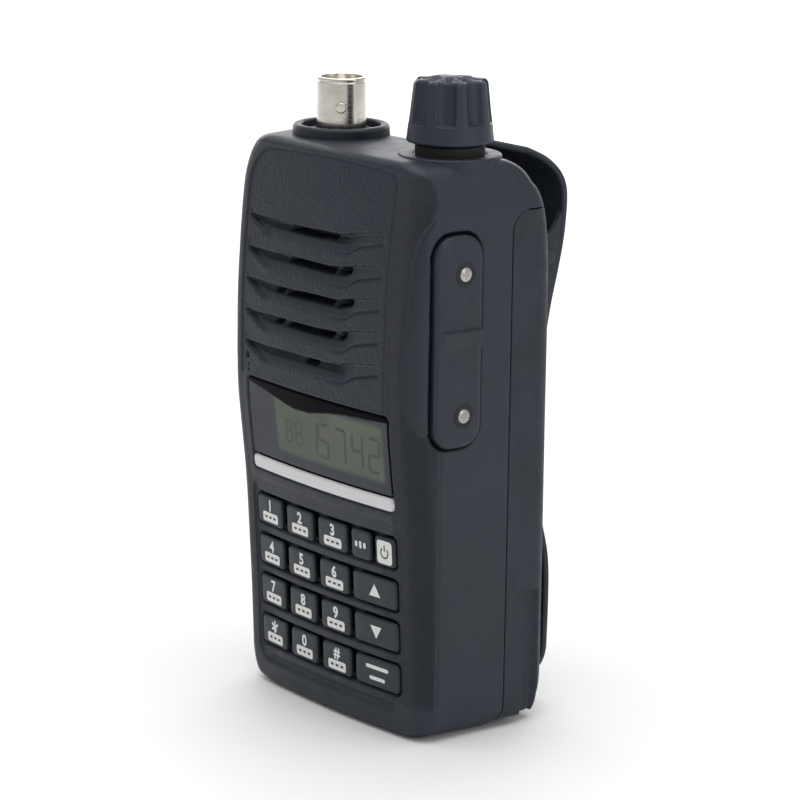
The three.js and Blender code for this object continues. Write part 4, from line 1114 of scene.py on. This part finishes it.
def side_patch(name, spec, rings, side, material, body, replaces=(), corner=8):
    """A rounded rectangle on the side of the case: rings of (inset, x) from the outside in, then a middle."""
    y0, y1, z0, z1, radius = spec
    outline = []
    for inset, x in rings:
        reach = max(radius - inset, 0.05)
        ring = []
        for cy, cz, start in ((y1, z0, -90), (y1, z1, 0), (y0, z1, 90), (y0, z0, 180)):
            centre_y = cy - math.copysign(max(radius, inset), cy - (y0 + y1) / 2)
            centre_z = cz - math.copysign(max(radius, inset), cz - (z0 + z1) / 2)
            for i in range(corner + 1):
                angle = math.radians(start + 90 * i / corner)
                across, upright = reach * math.cos(angle), reach * math.sin(angle)
                ring.append((x * side, centre_y + across, centre_z + upright))
        outline.append(np.array(ring))
    last = outline[-1]
    middle = last.mean(0)
    outline += [last + (middle - last) * share for share in (0.5, 1.0)]
    points = np.concatenate(outline)
    faces = grid_faces(len(outline), len(last), wrap=True)
    tidy_mesh(make_object(name, points, faces, material, body, replaces))


def side_rings(base, face, rounding, steps=6):
    rings = [(0, base), (0, face - rounding)]
    for i in range(1, steps + 1):
        angle = math.pi / 2 * i / steps
        rings.append((rounding * 1.5 * (1 - math.cos(angle)), face - rounding * (1 - math.sin(angle))))
    return rings


cover_low, cover_high = COVER_BOX
COVER_SPEC = (cover_low.y, cover_high.y, cover_low.z, cover_high.z, 4.2)
COVER_FACE = 30.3
side_patch("jack_cover_skin", COVER_SPEC, side_rings(28.0, COVER_FACE, 0.8), 1, MATERIALS["plastic"], "radio",
           ["jack_cover"])


def build_cover_ridge():
    """Wedge across the cover: it rises upwards and ends in a steep ledge."""
    y = np.linspace(cover_low.y + 0.7, cover_high.y - 0.15, 40)
    z = np.linspace(76.2, 80.6, 34)
    yy, zz = np.meshgrid(y, z)
    rise = smoothstep(-zz, -80.3, -79.7) * np.clip((zz - 76.4) / 3.2, 0, 1)
    ends = smoothstep(yy, cover_low.y + 0.7, cover_low.y + 2.2)
    ends = ends * smoothstep(-yy, -cover_high.y + 0.1, -cover_high.y + 0.5)
    x = COVER_FACE - 0.06 + 0.62 * rise * ends
    points = np.stack([x, yy, zz], axis=-1).reshape(-1, 3)
    make_object("jack_cover_ridge", points, grid_faces(30, 40), MATERIALS["plastic"], "radio")


build_cover_ridge()


def build_cover_screw(name):
    """Cross-headed screw in a black ring of painted shade that stands for its countersink."""
    low, high = (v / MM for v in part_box(name))
    y, z = (low.y + high.y) / 2, (low.z + high.z) / 2
    turn = Matrix.Translation((0, y, z)) @ Matrix.Rotation(math.pi / 2, 4, "Y")
    # Painted shade: a flat black ring on the cover in place of a recessed countersink.
    shade_ring_profile = rounded_profile([(2.35, COVER_FACE + 0.01), (2.2, COVER_FACE + 0.12), (1.7, COVER_FACE + 0.05),
                            (0.8, COVER_FACE + 0.03)], 0.05)
    points, faces = turned(shade_ring_profile, 0, 0, 48)
    ring = make_object(name + "_painted_shade_ring", [tuple(turn @ Vector(p)) for p in points], faces, MATERIALS["black"],
                       "radio")
    tidy_mesh(ring)
    sides, radii = 72, np.array([0.0, 0.15, 0.3, 0.45, 0.6, 0.75, 0.9, 1.05, 1.2, 1.3, 1.34])
    angle = np.linspace(0, 2 * math.pi, sides, endpoint=False)
    across = radii[:, None] * np.cos(angle)
    upright = radii[:, None] * np.sin(angle)
    cross = np.maximum(
        smoothstep(-np.abs(across), -0.3, -0.16) * smoothstep(-np.abs(upright), -0.9, -0.7),
        smoothstep(-np.abs(upright), -0.3, -0.16) * smoothstep(-np.abs(across), -0.9, -0.7),
    )
    x = COVER_FACE + 0.36 - 0.28 * (radii[:, None] / 1.34) ** 3 - 0.26 * cross
    points = np.stack([x, y + across, z + upright], axis=-1).reshape(-1, 3)
    head = make_object(name + "_head", points, grid_faces(len(radii), sides, wrap=True), MATERIALS["steel"],
                       "radio", [name])
    tidy_mesh(head)


for screw in ("jack_cover_screw_upper", "jack_cover_screw_lower"):
    build_cover_screw(screw)

# ---- Push-to-talk button ----

ptt_low, ptt_high = PTT_BOX
PTT_SPEC = (ptt_low.y, ptt_high.y, ptt_low.z, ptt_high.z, 4.0)
side_patch("ptt_skin", PTT_SPEC, side_rings(28.8, 30.75, 1.0), -1, MATERIALS["rubber"], "ptt",
           ["ptt_button"])


def build_ptt_ribs():
    """Seven rounded ribs across the talk button."""
    pitch = 2.6
    middle_z = (ptt_low.z + ptt_high.z) / 2
    y = np.linspace(ptt_low.y + 2, ptt_high.y - 2, 24)
    for i in range(7):
        z = middle_z + (i - 3) * pitch + np.linspace(-0.8, 0.8, 12)
        yy, zz = np.meshgrid(y, z)
        ends = smoothstep(yy, y[0], y[0] + 0.8) * smoothstep(-yy, -y[-1], -y[-1] + 0.8)
        rise = np.sqrt(np.clip(1 - ((zz - z.mean()) / 0.8) ** 2, 0, 1)) * ends
        points = np.stack([-30.7 - 0.55 * rise, yy, zz], axis=-1).reshape(-1, 3)
        faces = [face[::-1] for face in grid_faces(12, 24)]
        make_object(f"ptt_rib_{i}", points, faces, MATERIALS["rubber"], "ptt")


build_ptt_ribs()

# ---- Belt clip ----

CLIP_PROFILE = [(22.9, 110.2), (25.4, 108.4), (27.2, 105.6), (28, 101.7), (27.9, 96.7), (27.4, 92),
                (26.3, 86.4), (24.8, 79.5), (23.8, 72), (23.5, 60), (23.6, 44), (24.6, 37.5), (26.5, 30),
                (27.1, 22), (27, 8), (26.3, 3.5)]  # y, z of its outer face
CLIP_HALF_WIDTH = 22.3
CLIP_TIP_HALF_WIDTH = 20.0
CLIP_THICKNESS = 1.4


def smooth_line(points, count):
    """Catmull-Rom curve through points, sampled evenly."""
    points = np.array(points, float)
    padded = np.vstack([2 * points[0] - points[1], points, 2 * points[-1] - points[-2]])
    out = []
    for i in range(1, len(padded) - 2):
        p0, p1, p2, p3 = padded[i - 1:i + 3]
        for t in np.linspace(0, 1, 12, endpoint=False):
            out.append(0.5 * (2 * p1 + (p2 - p0) * t + (2 * p0 - 5 * p1 + 4 * p2 - p3) * t**2
                              + (3 * p1 - p0 - 3 * p2 + p3) * t**3))
    out.append(points[-1])
    out = np.array(out)
    length = np.concatenate([[0], np.cumsum(np.linalg.norm(np.diff(out, axis=0), axis=1))])
    even = np.linspace(0, length[-1], count)
    return np.stack([np.interp(even, length, out[:, 0]), np.interp(even, length, out[:, 1])], axis=-1)


def clip_half_width(z):
    base = np.interp(z, [5, 80, 100], [CLIP_TIP_HALF_WIDTH, 21.8, CLIP_HALF_WIDTH])
    top, tip = 110.6, 3.2
    upper, lower = 8.6, 8.0
    into_top = np.clip(z - (top - upper), 0, upper)
    into_tip = np.clip(tip + lower - z, 0, lower)
    return base - (upper - np.sqrt(upper**2 - into_top**2)) - (lower - np.sqrt(lower**2 - into_tip**2))


def build_clip():
    """The clip arm: a rounded strip that follows its side profile."""
    line = smooth_line(CLIP_PROFILE, 170)
    tangent = np.gradient(line, axis=0)
    tangent /= np.linalg.norm(tangent, axis=1, keepdims=True)
    normal = np.stack([-tangent[:, 1], tangent[:, 0]], axis=-1)  # outwards, to the back
    around = []
    rounding = 0.45
    half = clip_half_width(line[:, 1])
    section = []
    for share in np.linspace(-1, 1, 60):
        section.append((share, 0, 0.0))
    edge_steps = np.linspace(0, math.pi, 9)
    for angle in edge_steps:
        section.append((1, math.sin(angle), (1 - math.cos(angle)) / 2))
    for share in np.linspace(1, -1, 60):
        section.append((share, 0, 1.0))
    for angle in edge_steps:
        section.append((-1, math.sin(angle), (1 + math.cos(angle)) / 2))
    for share, bulge, depth in section:
        x = share * (half - rounding) + math.copysign(bulge * rounding, share)
        place = line - normal * (depth * CLIP_THICKNESS)
        around.append(np.stack([x, place[:, 0], place[:, 1]], axis=-1))
    points = np.stack(around, axis=1)
    first = points[0].mean(0)
    last = points[-1].mean(0)
    cap = [points[0] + (first - points[0]) * 0.999]
    tail = [points[-1] + (last - points[-1]) * 0.999]
    full = np.concatenate([np.array(cap), points, np.array(tail)])
    faces = grid_faces(full.shape[0], full.shape[1], wrap=True)
    piece = make_object("clip_skin", full.reshape(-1, 3), faces, MATERIALS["coarse"], "clip",
                        ["clip_arm"])
    tidy_mesh(piece)


build_clip()


def extruded_side_plate(name, outline, x0, x1, material, body, bevel=0.3):
    """A plate with a Y, Z outline between two X positions, its edges bevelled."""
    count = len(outline)
    points = [(x0, y, z) for y, z in outline] + [(x1, y, z) for y, z in outline]
    faces = [list(range(count))[::-1], list(range(count, 2 * count))]
    faces += [[i, (i + 1) % count, count + (i + 1) % count, count + i] for i in range(count)]
    piece = make_object(name, points, faces, material, body)
    work = bmesh.new()
    work.from_mesh(piece.data)
    bmesh.ops.recalc_face_normals(work, faces=work.faces)
    bmesh.ops.bevel(work, geom=work.edges, offset=bevel * MM, segments=3, affect="EDGES", profile=0.5)
    work.to_mesh(piece.data)
    work.free()
    piece.data.polygons.foreach_set("use_smooth", [True] * len(piece.data.polygons))


GUSSET = smooth_line([(27.2, 99.5), (25.6, 96.4), (23.6, 93.9), (21.5, 92.7), (21.2, 89.4), (21.4, 86),
                      (22.4, 80.5), (23.3, 76), (24.2, 80), (26.2, 87), (27, 92), (27.3, 96)], 40)
for side_name, x0, x1 in (("right", 20.8, 22.0), ("left", -22.0, -20.8)):
    extruded_side_plate(f"clip_gusset_{side_name}", GUSSET, x0, x1, MATERIALS["coarse"], "clip")


def build_pivot_cap(side):
    """Round cap over an end of the clip's pin."""
    profile = rounded_profile([(0, 0.7), (1.2, 0.65), (1.75, 0.3), (1.85, -0.9)], 0.25)
    points, faces = turned(profile, 0, 0, 40)
    turn = Matrix.Translation((side * 22.0, 23.2, 90)) @ Matrix.Rotation(side * math.pi / 2, 4, "Y")
    points = [tuple(turn @ Vector(p)) for p in points]
    name = f"clip_pivot_cap_{'right' if side > 0 else 'left'}"
    tidy_mesh(make_object(name, points, faces, MATERIALS["plastic"], "battery"))


for side in (-1, 1):
    build_pivot_cap(side)


# ---- Edges of the CAD nodes that still show ----


def bevelled_copy(node_name, body, width):
    """A visible copy of a CAD node with softened edges, in place of the sharp one."""
    source = NODES[node_name]
    piece = bpy.data.objects.new(node_name + "_skin", source.data.copy())
    bpy.context.scene.collection.objects.link(piece)
    work = bmesh.new()
    work.from_mesh(piece.data)
    bmesh.ops.remove_doubles(work, verts=work.verts, dist=0.005 * MM)
    bmesh.ops.dissolve_limit(work, angle_limit=math.radians(1), verts=work.verts, edges=work.edges)
    sharp = [e for e in work.edges if len(e.link_faces) == 2 and e.calc_face_angle(0) > math.radians(35)]
    bmesh.ops.bevel(work, geom=sharp, offset=width * MM, segments=2, affect="EDGES", profile=0.5,
                    clamp_overlap=True)
    work.to_mesh(piece.data)
    work.free()
    piece.data.materials.clear()
    piece.data.materials.append(MATERIALS["plastic"])
    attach(piece, body)
    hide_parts(node_name)


bevelled_copy("battery_latch", "latch", 0.2)
bevelled_copy("clip_base", "battery", 0.2)


# ---- Camera, floor and light ----


def build_camera():
    azimuth, elevation, roll = (math.radians(a) for a in (51.873, 13.134, 0.674))
    distance, shift_x, shift_z = 660.483, 4.043, 4.501
    back = Vector((math.sin(azimuth) * math.cos(elevation), -math.cos(azimuth) * math.cos(elevation),
                   math.sin(elevation)))
    right = Vector((math.cos(azimuth), math.sin(azimuth), 0))
    up = back.cross(right)
    target = Vector((0, 0, 56)) + right * shift_x + up * shift_z
    turned_right = right * math.cos(roll) + up * math.sin(roll)
    turned_up = up * math.cos(roll) - right * math.sin(roll)
    data = bpy.data.cameras.new("camera")
    focal_length, picture_width = 3399.16, 800  # pixels
    data.sensor_width = 36
    data.lens = focal_length * data.sensor_width / picture_width
    data.clip_end = 20
    camera = bpy.data.objects.new("camera", data)
    rotation = Matrix((turned_right, turned_up, back)).transposed().to_4x4()
    camera.matrix_world = Matrix.Translation((target + back * distance) * MM) @ rotation
    bpy.context.scene.collection.objects.link(camera)
    bpy.context.scene.camera = camera


def area_light(name, place, target, size, power):
    """A rectangular light: place, target and size in metres, power in watts."""
    data = bpy.data.lights.new(name, "AREA")
    data.shape = "RECTANGLE"
    data.size, data.size_y = size
    data.energy = power
    light = bpy.data.objects.new(name, data)
    place, target = Vector(place), Vector(target)
    aim = (place - target).to_track_quat("Z", "Y").to_matrix().to_4x4()
    light.matrix_world = Matrix.Translation(place) @ aim
    bpy.context.scene.collection.objects.link(light)


def build_stage():
    """A plain pale floor and an even white world."""
    shader = Shader("pale_floor", (0.86, 0.86, 0.87), 0.7)
    tones = [(0.3, (0.85, 0.85, 0.86)), (0.7, (0.88, 0.88, 0.89))]
    shader.use("Base Color", shader.ramp(shader.noise(0.004, 3), tones))
    floor = bpy.data.meshes.new("floor")
    size, level = 4.0, -0.0002  # metres
    corners = [(-size, -size, level), (size, -size, level), (size, size, level), (-size, size, level)]
    floor.from_pydata(corners, [], [[0, 1, 2, 3]])
    floor.materials.append(shader.material)
    piece = bpy.data.objects.new("floor", floor)
    bpy.context.scene.collection.objects.link(piece)
    world = bpy.data.worlds.new("studio")
    world.use_nodes = True
    world.node_tree.nodes["Background"].inputs["Color"].default_value = (1, 1, 1, 1)
    world.node_tree.nodes["Background"].inputs["Strength"].default_value = 0.5
    bpy.context.scene.world = world


build_camera()
build_stage()
area_light("overhead", (0, 0, 1.7), (0, 0, 0), (1.8, 1.8), 23)
area_light("backdrop", (-1.3, 1.0, 0.5), (0, 0, 0.06), (2.4, 0.9), 17)
area_light("right_softbox", (1.1, 0.25, 0.45), (0, 0, 0.06), (0.6, 0.6), 2.2)
bpy.context.scene.view_settings.view_transform = "Standard"
